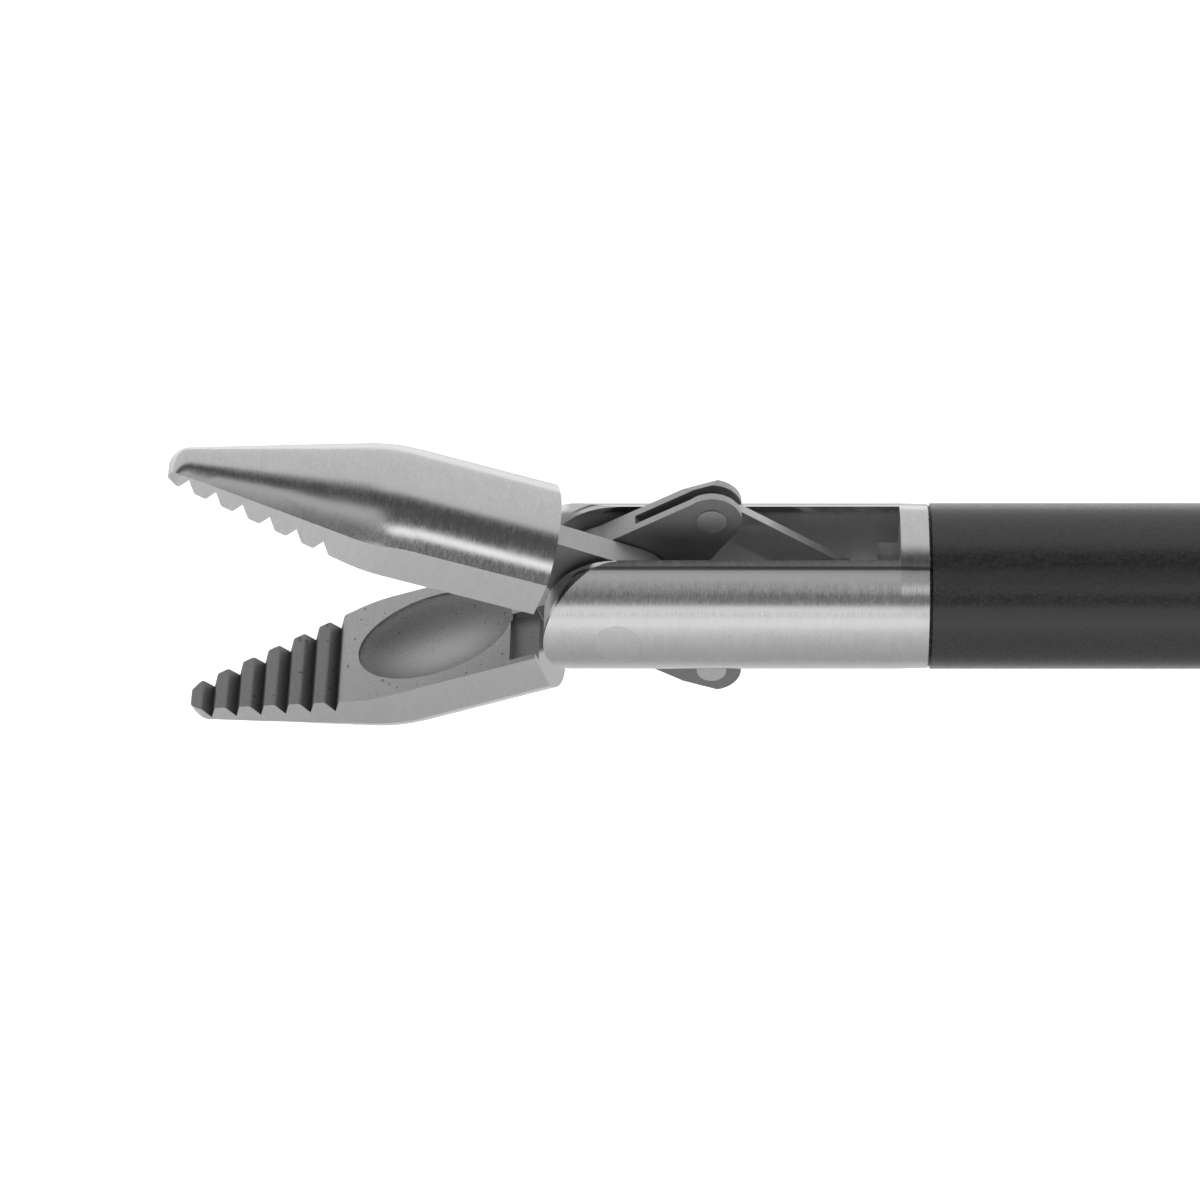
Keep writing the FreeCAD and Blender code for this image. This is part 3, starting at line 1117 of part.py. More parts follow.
def rivets():
    """Rivets through both halves of the handle and the ratchet bar."""
    pins = [rod_shape(f"rivet_{i}", "rivet_radius", "-shell_half", "shell_half", "z", x, y)
            for i, (x, y) in enumerate(RIVET_SPOTS, start=1)]
    return join("Part::Compound", "ratchet_rivets", pins)


def port():
    """Rinsing port with a lock collar at its mouth, standing on the handle. Turned about Y."""
    piece = Piece("rinsing_port")
    foot = "(housing_top - port_foot)"
    flange = "(port_radius + port_flange)"
    rim = "(port_radius + lock_rim)"
    passage = "(luer_radius - luer_step)"
    piece.turn([
        (foot, passage), (foot, "port_radius - 1"), ("housing_top", "port_radius - 1"),
        ("housing_top", flange), ("housing_top + flange_height", flange),
        ("housing_top + flange_height + 0.8", "port_radius"),
        (f"{PORT_TOP} - lock_height - 0.6", "port_radius"), (f"{PORT_TOP} - lock_height", rim),
        (PORT_TOP, rim), (PORT_TOP, "luer_radius"), (f"{PORT_TOP} - luer_depth", "luer_radius"),
        (f"{PORT_TOP} - luer_depth - 1", passage),
    ])
    piece.place(x=PORT_X, axis=("0", "0", "1"), angle="90")
    return piece.body


def port_cap():
    """Cap that pushes over the port's mouth. Turned about Y."""
    piece = Piece("port_cap")
    inside = "(port_radius + lock_rim + cap_play)"
    outside = f"({inside} + cap_wall)"
    low, high = f"{PORT_TOP} - cap_skirt", f"{PORT_TOP} + cap_top"
    piece.turn([
        (f"{PORT_TOP} + cap_play", "0"), (f"{PORT_TOP} + cap_play", inside), (low, inside),
        (low, outside), (high, outside, "1"), (high, "0"),
    ])
    piece.place(x=PORT_X, axis=("0", "0", "1"), angle="90")
    return piece.body


def post():
    """Electrode post with its collar and the stud that reaches the contact leaf. Turned about Y."""
    piece = Piece("electrode_post")
    collar = "(post_radius + post_collar)"
    over = "(housing_top + collar_height)"
    tip = f"({over} + post_length)"
    piece.turn([
        ("cavity_top", "0"), ("cavity_top", "post_radius"), ("housing_top", "post_radius"),
        ("housing_top", collar), (over, collar), (over, "post_radius"), (tip, "post_radius", "1"), (tip, "0"),
    ])
    piece.place(x=LEVER_X, axis=("0", "0", "1"), angle="90")
    leaf = Piece("contact_leaf")
    x = f"({BODY_FRONT} + {WALLS})"
    touch = f"({ROD_R} + leaf_play)"
    end = f"{LEVER_X} + post_radius"
    leaf.pad("XY_Plane", [[
        (f"{x} + 3.2", "cavity_top"), (end, "cavity_top"), (end, "cavity_top - leaf_wall"),
        (f"{x} + 3.2 + leaf_wall", "cavity_top - leaf_wall"),
        (f"{x} + 3.4 + leaf_wall", touch), (f"{x} + 3.4", touch),
    ]], "-leaf_half", "leaf_half")
    return [piece.body, leaf.body]


def build_all():
    """Every node, from the jaws to the handle."""
    nodes = jaws()
    nodes.append(jaw_pivot_pin())
    nodes += knuckle_pins()
    nodes.append(link("upper_link", "-1", f"-{LINK_ANGLE}"))
    nodes.append(link("lower_link", "1", LINK_ANGLE))
    nodes.append(rod_end())
    nodes += rod_line()
    nodes.append(yoke())
    nodes += shaft_tubes()
    nodes.append(hub())
    nodes.append(knob())
    nodes += hub_rings()
    nodes.append(handle_shell("handle_shell_right", "1"))
    nodes.append(handle_shell("handle_shell_left", "-1"))
    nodes.append(case_screws())
    nodes.append(thumb_lever())
    nodes.append(liner("thumb_ring_liner", THUMB_X, THUMB_Y, "thumb_half_x", "thumb_half_y", THUMB_TILT,
                       "shell_half - ring_step + liner_proud"))
    nodes.append(liner("finger_ring_liner", FINGER_X, FINGER_Y, "finger_half_x", "finger_half_y",
                       FINGER_TILT, "shell_half + liner_proud"))
    nodes += lever_screw()
    nodes.append(rack())
    nodes += catch()
    nodes.append(rivets())
    nodes.append(port())
    nodes.append(port_cap())
    nodes += post()
    return nodes


def check(nodes):
    """Stop on any failed object or bad solid."""
    faults = [f"{o.Name}: {o.State}" for o in DOC.Objects if "Invalid" in o.State or "Error" in o.State]
    faults += [n.Label for n in nodes if n.Shape.isNull() or not n.Shape.isValid()]
    if faults:
        raise RuntimeError("failed objects: " + ", ".join(faults))


NODES = build_all()
DOC.recompute()
check(NODES)
os.makedirs("parts", exist_ok=True)
for node in NODES:
    node.Shape.exportStep(f"parts/{node.Label}.step")
    print(f"{node.Label:22s} {node.Shape.Volume:10.2f} mm3  {len(node.Shape.Solids)} solid(s)")
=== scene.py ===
"""Looks of a laparoscopic grasper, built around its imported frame.

All lengths are metres in the frame's own axes: the shaft lies along X with the jaws towards -X, the jaws'
pivot pin along Y, and the instrument lies flat on a pale floor with +Z up.
"""

import json
import logging
import math
from abc import ABC, abstractmethod
from dataclasses import dataclass, field
from enum import Enum

import bmesh
import bpy
from mathutils import Matrix, Vector
from mathutils.bvhtree import BVHTree


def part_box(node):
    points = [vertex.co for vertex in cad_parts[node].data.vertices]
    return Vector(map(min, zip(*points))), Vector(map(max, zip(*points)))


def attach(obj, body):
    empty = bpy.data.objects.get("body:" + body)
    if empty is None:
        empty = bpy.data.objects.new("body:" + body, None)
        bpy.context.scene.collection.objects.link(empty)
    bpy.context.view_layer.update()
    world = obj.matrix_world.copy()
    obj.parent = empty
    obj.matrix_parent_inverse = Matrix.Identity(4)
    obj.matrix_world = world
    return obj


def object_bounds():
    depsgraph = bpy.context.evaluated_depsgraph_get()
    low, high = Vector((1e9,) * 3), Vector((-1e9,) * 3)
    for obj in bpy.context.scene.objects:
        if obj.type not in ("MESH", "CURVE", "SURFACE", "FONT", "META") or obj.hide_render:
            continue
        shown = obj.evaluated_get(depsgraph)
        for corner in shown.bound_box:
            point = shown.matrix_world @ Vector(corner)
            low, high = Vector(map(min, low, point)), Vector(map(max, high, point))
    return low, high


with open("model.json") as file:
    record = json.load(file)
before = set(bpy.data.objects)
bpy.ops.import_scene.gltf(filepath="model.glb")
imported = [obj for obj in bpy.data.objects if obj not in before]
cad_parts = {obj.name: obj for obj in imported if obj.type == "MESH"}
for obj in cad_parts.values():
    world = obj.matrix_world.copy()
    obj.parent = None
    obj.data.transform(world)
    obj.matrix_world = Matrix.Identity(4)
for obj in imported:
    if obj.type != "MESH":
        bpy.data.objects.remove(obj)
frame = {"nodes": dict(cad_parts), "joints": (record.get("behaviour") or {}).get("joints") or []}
CAD_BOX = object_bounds()

LOG = logging.getLogger("grasper")
MM = 0.001
NODES = frame["nodes"]
JAW_PIVOT = next(Vector(joint["pos_m"]) for joint in frame["joints"] if joint["name"] == "upper_jaw_swing")
OPEN_ANGLE = math.radians(20.0)
SHAFT_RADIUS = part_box("insulating_sleeve")[1].z

# What brushing does to every metal: tones against its mean colour, roughness about its mean, and depth.
BRUSH_DARK = 0.94
BRUSH_BRIGHT = 1.05
BRUSH_SMOOTHER = 0.03
BRUSH_ROUGHER = 0.04
BRUSH_DEPTH = 0.02 * MM

# What fills a node's input: a socket to link, or a plain number, vector or colour.
Value = bpy.types.NodeSocket | float | tuple[float, ...]
Colour = tuple[float, float, float]


class Grain(Enum):
    """Which way the fine scratches of a metal run, as pattern scales along X, Y and Z in 1/m."""

    SATIN = (26000.0, 7000.0, 7000.0)
    ROUND_X = (26000.0, 900.0, 900.0)
    ALONG_X = (700.0, 24000.0, 24000.0)
    FLAT_XZ = (9000.0, 9000.0, 9000.0)
    ROUND_Y = (900.0, 22000.0, 900.0)
    ROUND_Z = (1500.0, 1500.0, 24000.0)


def add_node(tree: bpy.types.NodeTree, kind: str, inputs: dict | None = None,
             **settings: str) -> bpy.types.Node:
    """Add a shader node with its settings, and fill or link its inputs.

    Args:
        tree: The node tree that gets the node.
        kind: The node's type name.
        inputs: Input names or numbers, each with a plain value or an output socket to link.
        settings: Properties of the node itself.

    Returns:
        The new node.
    """
    made = tree.nodes.new(kind)
    for key, value in settings.items():
        setattr(made, key, value)
    for key, value in (inputs or {}).items():
        fill(tree, made.inputs[key], value)
    return made


def fill(tree: bpy.types.NodeTree, socket: bpy.types.NodeSocket, value: Value) -> None:
    """Link an input socket to an output, or set it to a plain value.

    Args:
        tree: The node tree of both sockets.
        socket: The input.
        value: Output socket or plain value.
    """
    if isinstance(value, bpy.types.NodeSocket):
        tree.links.new(value, socket)
    else:
        socket.default_value = value


def math_node(tree: bpy.types.NodeTree, operation: str, first: Value, second: Value = 0.0,
              third: Value = 0.0) -> bpy.types.NodeSocket:
    """One math operation on sockets or numbers."""
    return add_node(tree, "ShaderNodeMath", {0: first, 1: second, 2: third}, operation=operation).outputs[0]


def scaled(tree: bpy.types.NodeTree, vector: Value, by: Value) -> bpy.types.NodeSocket:
    """A vector or colour times another one, or times a number, component by component."""
    return add_node(tree, "ShaderNodeVectorMath", {0: vector, 1: by}, operation="MULTIPLY").outputs[0]


def component(tree: bpy.types.NodeTree, vector: Value, axis: str) -> bpy.types.NodeSocket:
    """One component of a vector."""
    return add_node(tree, "ShaderNodeSeparateXYZ", {0: vector}).outputs[axis]


def coordinate(tree: bpy.types.NodeTree, kind: str) -> bpy.types.NodeSocket:
    """A texture coordinate of the given kind."""
    return add_node(tree, "ShaderNodeTexCoord").outputs[kind]


def turned(tree: bpy.types.NodeTree, vector: Value, centre: Vector, angle: float) -> bpy.types.NodeSocket:
    """Turn a vector about an axis along Y.

    Args:
        tree: The node tree to build in.
        vector: Socket with the vector.
        centre: Point on the axis.
        angle: Turn in radians.

    Returns:
        The turned vector's socket.
    """
    turning = {"Vector": vector, "Center": centre, "Angle": angle}
    return add_node(tree, "ShaderNodeVectorRotate", turning, rotation_type="Y_AXIS").outputs["Vector"]


def remap(tree: bpy.types.NodeTree, value: Value, source: tuple[float, float], low: float,
          high: float) -> bpy.types.NodeSocket:
    """Carry a value from one range to another, eased at both ends and clamped outside them.

    Args:
        tree: The node tree to build in.
        value: Socket with the value.
        source: Start and end of the source range.
        low: What the start becomes.
        high: What the end becomes.

    Returns:
        The output socket.
    """
    limits = {"Value": value, "From Min": source[0], "From Max": source[1], "To Min": low, "To Max": high}
    made = add_node(tree, "ShaderNodeMapRange", interpolation_type="SMOOTHSTEP")
    for key, limit in limits.items():
        fill(tree, made.inputs[key], limit)
    return made.outputs["Result"]


def blend(tree: bpy.types.NodeTree, factor: Value, first: Value, second: Value) -> bpy.types.NodeSocket:
    """Blend two numbers by a mask."""
    return add_node(tree, "ShaderNodeMix", {"Factor": factor, "A": first, "B": second}).outputs["Result"]


def colour_blend(tree: bpy.types.NodeTree, factor: Value, first: Value,
                 second: Value) -> bpy.types.NodeSocket:
    """Blend two colours, sockets or plain ones, by a mask."""
    colours = {"Factor": factor, "A": opaque(first), "B": opaque(second)}
    return add_node(tree, "ShaderNodeMix", colours, data_type="RGBA").outputs["Result"]


def emboss(tree: bpy.types.NodeTree, shader: bpy.types.Node, height: Value, strength: float,
           depth: float) -> None:
    """Give a shader a relief.

    Args:
        tree: The material's node tree.
        shader: Its Principled shader.
        height: Socket with the height.
        strength: Strength of the relief.
        depth: Depth that a height of 1 stands for.
    """
    bump = add_node(tree, "ShaderNodeBump", {"Height": height, "Strength": strength, "Distance": depth})
    tree.links.new(bump.outputs["Normal"], shader.inputs["Normal"])


def opaque(colour: Value) -> Value:
    """A plain colour with full alpha, or a colour socket as it is."""
    return (*colour, 1.0) if isinstance(colour, tuple) else colour


def dimmed(colour: Colour, share: float) -> Colour:
    """A plain colour times a share, up to white."""
    return tuple(min(channel * share, 1.0) for channel in colour)


def new_group(name: str, inputs: dict,
              outputs: dict) -> tuple[bpy.types.NodeTree, bpy.types.Node, bpy.types.Node]:
    """Start a shader node group with named sockets.

    Args:
        name: The group's name.
        inputs: Socket names with their types and default values.
        outputs: Socket names with their types.

    Returns:
        The group's tree, its input node and its output node.
    """
    tree = bpy.data.node_groups.new(name, "ShaderNodeTree")
    for label, (kind, value) in inputs.items():
        socket = tree.interface.new_socket(label, in_out="INPUT", socket_type=kind)
        if value is not None:
            socket.default_value = value
    for label, kind in outputs.items():
        tree.interface.new_socket(label, in_out="OUTPUT", socket_type=kind)
    return tree, tree.nodes.new("NodeGroupInput"), tree.nodes.new("NodeGroupOutput")


@dataclass(frozen=True)
class Brushing:
    """Fine parallel scratches from a stretched vector.

    Attributes:
        coarse: Share of the wide scratches in the mix.
        widening: Pattern scale of the wide scratches against the fine ones.
        fine_detail: Octaves of the fine scratches.
        wide_detail: Octaves of the wide scratches.
        tone_range: Levels of the noise that become the tones 0 and 1.
    """

    coarse: float = 0.35
    widening: float = 0.21
    fine_detail: float = 3.0
    wide_detail: float = 2.0
    tone_range: tuple[float, float] = (0.33, 0.67)

    def group(self) -> bpy.types.NodeTree:
        """Build the node group.

        Returns:
            The group, which puts out a height and a soft tone from 0 to 1.
        """
        tree, given, made = new_group(
            "fine_brushing",
            {"Vector": ("NodeSocketVector", None), "Coarse": ("NodeSocketFloat", self.coarse)},
            {"Height": "NodeSocketFloat", "Tone": "NodeSocketFloat"},
        )
        vector = given.outputs["Vector"]
        wide_vector = scaled(tree, vector, (self.widening, self.widening, self.widening))
        fine = add_node(tree, "ShaderNodeTexNoise", {"Vector": vector, "Scale": 1.0,
                                                     "Detail": self.fine_detail})
        wide = add_node(tree, "ShaderNodeTexNoise", {"Vector": wide_vector, "Scale": 1.0,
                                                     "Detail": self.wide_detail})
        both = blend(tree, given.outputs["Coarse"], fine.outputs["Fac"], wide.outputs["Fac"])
        tree.links.new(both, made.inputs["Height"])
        tree.links.new(remap(tree, both, self.tone_range, 0.0, 1.0), made.inputs["Tone"])
        return tree


@dataclass(frozen=True)
class HandlingMarks:
    """Soft cloudy marks left by wiping and handling.

    Attributes:
        usual_size: Size of the clouds where a finish doesn't say.
        detail: Octaves of the clouds.
        distortion: How far the clouds are drawn out of shape.
        mask_range: Levels of the noise that become the masks 0 and 1.
    """

    usual_size: float = 4.0 * MM
    detail: float = 4.0
    distortion: float = 0.6
    mask_range: tuple[float, float] = (0.42, 0.66)

    def group(self) -> bpy.types.NodeTree:
        """Build the node group.

        Returns:
            The group, which puts out a mask.
        """
        tree, given, made = new_group(
            "handling_marks",
            {"Vector": ("NodeSocketVector", None), "Size": ("NodeSocketFloat", self.usual_size)},
            {"Mask": "NodeSocketFloat"},
        )
        scale = math_node(tree, "DIVIDE", 1.0, given.outputs["Size"])
        cloud = add_node(tree, "ShaderNodeTexNoise", {"Vector": given.outputs["Vector"], "Scale": scale,
                                                      "Detail": self.detail, "Distortion": self.distortion})
        tree.links.new(remap(tree, cloud.outputs["Fac"], self.mask_range, 0.0, 1.0), made.inputs["Mask"])
        return tree


@dataclass(frozen=True)
class MouldGrain:
    """Fine spark-eroded or blasted grain.

    Attributes:
        usual_size: Size of the grain where a finish doesn't say.
        cell_share: Height of the round cells against the soft noise between them.
        detail: Octaves of the soft noise.
        tone_range: Levels of the noise that become the tones 0 and 1.
    """

    usual_size: float = 0.3 * MM
    cell_share: float = 0.7
    detail: float = 3.0
    tone_range: tuple[float, float] = (0.35, 0.65)

    def group(self) -> bpy.types.NodeTree:
        """Build the node group.

        Returns:
            The group, which puts out a height and a tone.
        """
        tree, given, made = new_group(
            "mould_grain",
            {"Vector": ("NodeSocketVector", None), "Size": ("NodeSocketFloat", self.usual_size)},
            {"Height": "NodeSocketFloat", "Tone": "NodeSocketFloat"},
        )
        vector = given.outputs["Vector"]
        scale = math_node(tree, "DIVIDE", 1.0, given.outputs["Size"])
        cells = add_node(tree, "ShaderNodeTexVoronoi", {"Vector": vector, "Scale": scale},
                         feature="SMOOTH_F1")
        soft = add_node(tree, "ShaderNodeTexNoise", {"Vector": vector, "Scale": scale, "Detail": self.detail})
        soft_level = soft.outputs["Fac"]
        height = math_node(tree, "MULTIPLY_ADD", cells.outputs["Distance"], self.cell_share, soft_level)
        tree.links.new(height, made.inputs["Height"])
        tree.links.new(remap(tree, soft_level, self.tone_range, 0.0, 1.0), made.inputs["Tone"])
        return tree


class Effects:
    """The effects that several finishes share, each built once as a node group."""

    def __init__(self) -> None:
        """Build the groups."""
        self.brushing = Brushing().group()
        self.handling = HandlingMarks().group()
        self.mould_grain = MouldGrain().group()

    def place(self, tree: bpy.types.NodeTree, group: bpy.types.NodeTree, **inputs: Value) -> bpy.types.Node:
        """Put a group into a material's tree.

        Args:
            tree: The material's node tree.
            group: One of this class's groups.
            inputs: Values or sockets for the group's inputs.

        Returns:
            The group node.
        """
        made = tree.nodes.new("ShaderNodeGroup")
        made.node_tree = group
        for key, value in inputs.items():
            fill(tree, made.inputs[key], value)
        return made


EFFECTS = Effects()


@dataclass(frozen=True)
class Finish(ABC):
    """A surface finish that builds its own material.

    Attributes:
        name: Name of the material.
    """

    name: str

    @abstractmethod
    def material(self) -> bpy.types.Material:
        """Build the material."""

    def start(self) -> tuple[bpy.types.Material, bpy.types.NodeTree, bpy.types.Node]:
        """Start the material.

        Returns:
            The material, its node tree and its Principled shader, which is joined to the output.
        """
        material = bpy.data.materials.new(self.name)
        material.use_nodes = True
        tree = material.node_tree
        tree.nodes.clear()
        shader = tree.nodes.new("ShaderNodeBsdfPrincipled")
        output = tree.nodes.new("ShaderNodeOutputMaterial")
        tree.links.new(shader.outputs["BSDF"], output.inputs["Surface"])
        return material, tree, shader


@dataclass(frozen=True)
class Brushed(Finish):
    """What all brushed metals share.

    Attributes:
        colour: Mean colour of the metal.
        roughness: Mean roughness.
        scratch: Strength of the scratches in the relief.
        marks: How far handling marks raise the roughness.
    """

    colour: Colour = (0.53, 0.53, 0.53)
    roughness: float = 0.26
    scratch: float = 0.09
    marks: float = 0.05

    def brushed_colour(self, tree: bpy.types.NodeTree, tone: Value) -> bpy.types.NodeSocket:
        """The metal's colour, a little darker and brighter along the scratches."""
        return colour_blend(tree, tone, dimmed(self.colour, BRUSH_DARK), dimmed(self.colour, BRUSH_BRIGHT))

    def brushed_roughness(self, tree: bpy.types.NodeTree, tone: Value, marks: Value) -> bpy.types.NodeSocket:
        """Roughness of the scratches with the handling marks on them.

        Args:
            tree: The material's node tree.
            tone: Socket with the tone of the scratches.
            marks: Socket with the mask of the handling marks.

        Returns:
            The roughness socket.
        """
        rough = remap(tree, tone, (0.0, 1.0), self.roughness - BRUSH_SMOOTHER, self.roughness + BRUSH_ROUGHER)
        return math_node(tree, "MULTIPLY_ADD", marks, self.marks, rough)


@dataclass(frozen=True)
class Steel(Brushed):
    """Satin steel with fine parallel brushing.

    Attributes:
        grain: Way the scratches run.
        mark_size: Size of the handling marks.
        milled: Roughness of the milled surfaces well inside the shaft's radius, or 0 where there are none.
        milled_range: Shares of the shaft's radius between which a surface goes from milled to brushed.
        shade_line: Distance from the middle plane of the painted dark line of shade beside the slot, or 0 for
            none.
        line_core: Half width of that line's dark core.
        line_reach: Distance from its middle at which it ends.
        shade_line_tone: Brightness of the painted shade at its core, against the metal.
    """

    grain: Grain = Grain.ROUND_X
    mark_size: float = 3.5 * MM
    milled: float = 0.0
    milled_range: tuple[float, float] = (0.86, 0.95)
    shade_line: float = 0.0
    line_core: float = 0.02 * MM
    line_reach: float = 0.08 * MM
    shade_line_tone: float = 0.28

    def material(self) -> bpy.types.Material:
        """Build the material.

        Returns:
            The material.
        """
        material, tree, shader = self.start()
        place = coordinate(tree, "Object")
        brushing = EFFECTS.place(tree, EFFECTS.brushing, Vector=scaled(tree, place, self.grain.value))
        marks = EFFECTS.place(tree, EFFECTS.handling, Vector=place, Size=self.mark_size)
        colour = self.brushed_colour(tree, brushing.outputs["Tone"])
        # Painted shade: a thin dark line beside the slot, not a mark on the metal.
        if self.shade_line:
            colour = self._with_painted_shade_line(tree, place, colour)
        rough = self.brushed_roughness(tree, brushing.outputs["Tone"], marks.outputs["Mask"])
        if self.milled:
            rough = blend(tree, self._inside(tree, place), rough, self.milled)
        tree.links.new(colour, shader.inputs["Base Color"])
        tree.links.new(rough, shader.inputs["Roughness"])
        shader.inputs["Metallic"].default_value = 1.0
        emboss(tree, shader, brushing.outputs["Height"], self.scratch, BRUSH_DEPTH)
        return material

    def _with_painted_shade_line(self, tree: bpy.types.NodeTree, place: Value, colour: Value) -> bpy.types.NodeSocket:
        """Paint a thin dark line of shade beside the slot, standing in for the shading of an edge chamfer
        that the mesh lacks.

        Args:
            tree: The material's node tree.
            place: Socket with the place on the piece.
            colour: Socket with the metal's colour.

        Returns:
            The colour socket with the line in it.
        """
        from_middle = math_node(tree, "ABSOLUTE", component(tree, place, "Y"))
        from_line = math_node(tree, "ABSOLUTE", math_node(tree, "SUBTRACT", from_middle, self.shade_line))
        shade = remap(tree, from_line, (self.line_core, self.line_reach), self.shade_line_tone, 1.0)
        return scaled(tree, colour, math_node(tree, "MAXIMUM", shade, self._inside(tree, place)))

    def _inside(self, tree: bpy.types.NodeTree, place: Value) -> bpy.types.NodeSocket:
        """Mask of what lies well inside the shaft's radius.

        Args:
            tree: The material's node tree.
            place: Socket with the place on the piece.

        Returns:
            The mask's socket.
        """
        across = scaled(tree, place, (0.0, 1.0, 1.0))
        radius = add_node(tree, "ShaderNodeVectorMath", {0: across}, operation="LENGTH").outputs["Value"]
        limits = tuple(SHAFT_RADIUS * share for share in self.milled_range)
        return remap(tree, radius, limits, 1.0, 0.0)


@dataclass(frozen=True)
class JawSteel(Brushed):
    """Jaw steel: satin brushed outside, matt blasted on the inner face, cup and teeth, milled on the tang.

    Attributes:
        side: 1 for the upper jaw and -1 for the lower one.
        mark_size: Size of the handling marks.
        inner: Colour of the blasted inner face.
        inner_dark: Brightness of the grain's dark places on that face.
        inner_roughness: Roughness of the inner face and of the tang.
        blast_size: Size of the blasted grain.
        facing_range: How far a surface has to look towards the other jaw to be an inner face.
        face_depth: How deep the blasted finish reaches from the parting plane.
        face_fade: Where that finish has ended, as a multiple of its depth.
        recess_shade_tone: Brightness of the painted shade at the bottom of the teeth and the cup, against the
            face.
        teeth_start: Distance of the first tooth from the pivot.
        teeth_fade: Length over which the face darkens to the teeth's painted shade.
        teeth_shade_tone: Brightness of the painted shade over the teeth, against the face.
        tang_end: Distance from the pivot up to which the tang is milled and matt.
        tang_fade: Length over which that finish changes.
        cheek_shade_tone: Brightness of the painted shade on the tang's flat cheeks, against the outside.
        cheek_range: How far a surface has to look along the pin to be a cheek.
        speck_size: Size of the dark specks that use leaves on the blasted face.
        speck_range: Levels of the noise at which a speck starts and is full.
        speck_tone: Brightness of a speck.
    """

    side: int = 1
    colour: Colour = (0.54, 0.54, 0.54)
    roughness: float = 0.18
    scratch: float = 0.06
    marks: float = 0.025
    mark_size: float = 2.0 * MM
    inner: Colour = (0.52, 0.52, 0.52)
    inner_dark: float = 0.86
    inner_roughness: float = 0.62
    blast_size: float = 0.06 * MM
    facing_range: tuple[float, float] = (0.05, 0.3)
    face_depth: float = 0.46 * MM
    face_fade: float = 3.2
    recess_shade_tone: float = 0.64
    teeth_start: float = 8.9 * MM
    teeth_fade: float = 0.4 * MM
    teeth_shade_tone: float = 0.54
    tang_end: float = 2.66 * MM
    tang_fade: float = 0.04 * MM
    cheek_shade_tone: float = 0.5
    cheek_range: tuple[float, float] = (0.8, 0.95)
    speck_size: float = 0.22 * MM
    speck_range: tuple[float, float] = (0.70, 0.74)
    speck_tone: float = 0.5

    def material(self) -> bpy.types.Material:
        """Build the material.

        Returns:
            The material.
        """
        material, tree, shader = self.start()
        place = coordinate(tree, "Object")
        closed = turned(tree, place, JAW_PIVOT, -self.side * OPEN_ANGLE)
        reach = math_node(tree, "SUBTRACT", JAW_PIVOT.x, component(tree, closed, "X"))
        above = math_node(tree, "MULTIPLY", component(tree, closed, "Z"), float(self.side))
        brushing = EFFECTS.place(tree, EFFECTS.brushing, Vector=scaled(tree, closed, Grain.SATIN.value))
        marks = EFFECTS.place(tree, EFFECTS.handling, Vector=place, Size=self.mark_size)
        blast = EFFECTS.place(tree, EFFECTS.mould_grain, Vector=place, Size=self.blast_size)
        near = remap(tree, above, (self.face_depth, self.face_depth * self.face_fade), 1.0, 0.0)
        matt = math_node(tree, "MULTIPLY", self._facing(tree), near)
        tang = (self.tang_end - self.tang_fade, self.tang_end)

        # Painted shade: the tang's flat cheeks, which sit in the slot's shade, are darkened in the colour.
        cheek = math_node(tree, "MULTIPLY", self._sideways(tree), remap(tree, reach, tang, 1.0, 0.0))
        painted_cheek_shade = remap(tree, cheek, (0.0, 1.0), 1.0, self.cheek_shade_tone)
        outside = scaled(tree, self.brushed_colour(tree, brushing.outputs["Tone"]), painted_cheek_shade)
        inside = self._inner_colour(tree, place, reach, above, blast.outputs["Tone"])
        tree.links.new(colour_blend(tree, matt, outside, inside), shader.inputs["Base Color"])

        rough = self.brushed_roughness(tree, brushing.outputs["Tone"], marks.outputs["Mask"])
        rough = math_node(tree, "MAXIMUM", rough, remap(tree, reach, tang, self.inner_roughness, 0.0))
        tree.links.new(blend(tree, matt, rough, self.inner_roughness), shader.inputs["Roughness"])
        shader.inputs["Metallic"].default_value = 1.0
        height = blend(tree, matt, brushing.outputs["Height"], blast.outputs["Height"])
        emboss(tree, shader, height, self.scratch, BRUSH_DEPTH)
        return material

    def _inner_colour(self, tree: bpy.types.NodeTree, place: Value, reach: Value, above: Value,
                      grain: Value) -> bpy.types.NodeSocket:
        """Colour of the blasted face with its painted shade in the teeth and the cup, and its dark specks.

        Args:
            tree: The material's node tree.
            place: Socket with the place on the piece.
            reach: Socket with the distance from the pivot towards the tip.
            above: Socket with the depth from the parting plane.
            grain: Socket with the tone of the blasted grain.

        Returns:
            The colour socket.
        """
        plain = colour_blend(tree, grain, dimmed(self.inner, self.inner_dark), self.inner)
        # Painted shade: the face darkens with depth below the parting plane, in the teeth and the cup.
        deep = remap(tree, above, (0.0, self.face_depth), 1.0, self.recess_shade_tone)
        # Painted shade: the whole toothed length is darkened.
        teeth_range = (self.teeth_start, self.teeth_start + self.teeth_fade)
        teeth = remap(tree, reach, teeth_range, 1.0, self.teeth_shade_tone)
        spots = add_node(tree, "ShaderNodeTexNoise", {"Vector": place, "Scale": 1.0 / self.speck_size,
                                                      "Detail": 1.0})
        specks = remap(tree, spots.outputs["Fac"], self.speck_range, 1.0, self.speck_tone)
        shade = math_node(tree, "MULTIPLY", math_node(tree, "MULTIPLY", deep, teeth), specks)
        return scaled(tree, plain, shade)

    def _sideways(self, tree: bpy.types.NodeTree) -> bpy.types.NodeSocket:
        """Mask of the flat faces that look along the jaw's pin."""
        across = math_node(tree, "ABSOLUTE", component(tree, coordinate(tree, "Normal"), "Y"))
        return remap(tree, across, self.cheek_range, 0.0, 1.0)

    def _facing(self, tree: bpy.types.NodeTree) -> bpy.types.NodeSocket:
        """Mask of the faces that look towards the other jaw.

        Args:
            tree: The material's node tree.

        Returns:
            The mask's socket.
        """
        normal = turned(tree, coordinate(tree, "Normal"), Vector(), -self.side * OPEN_ANGLE)
        towards = math_node(tree, "MULTIPLY", component(tree, normal, "Z"), -float(self.side))
        return remap(tree, towards, self.facing_range, 0.0, 1.0)


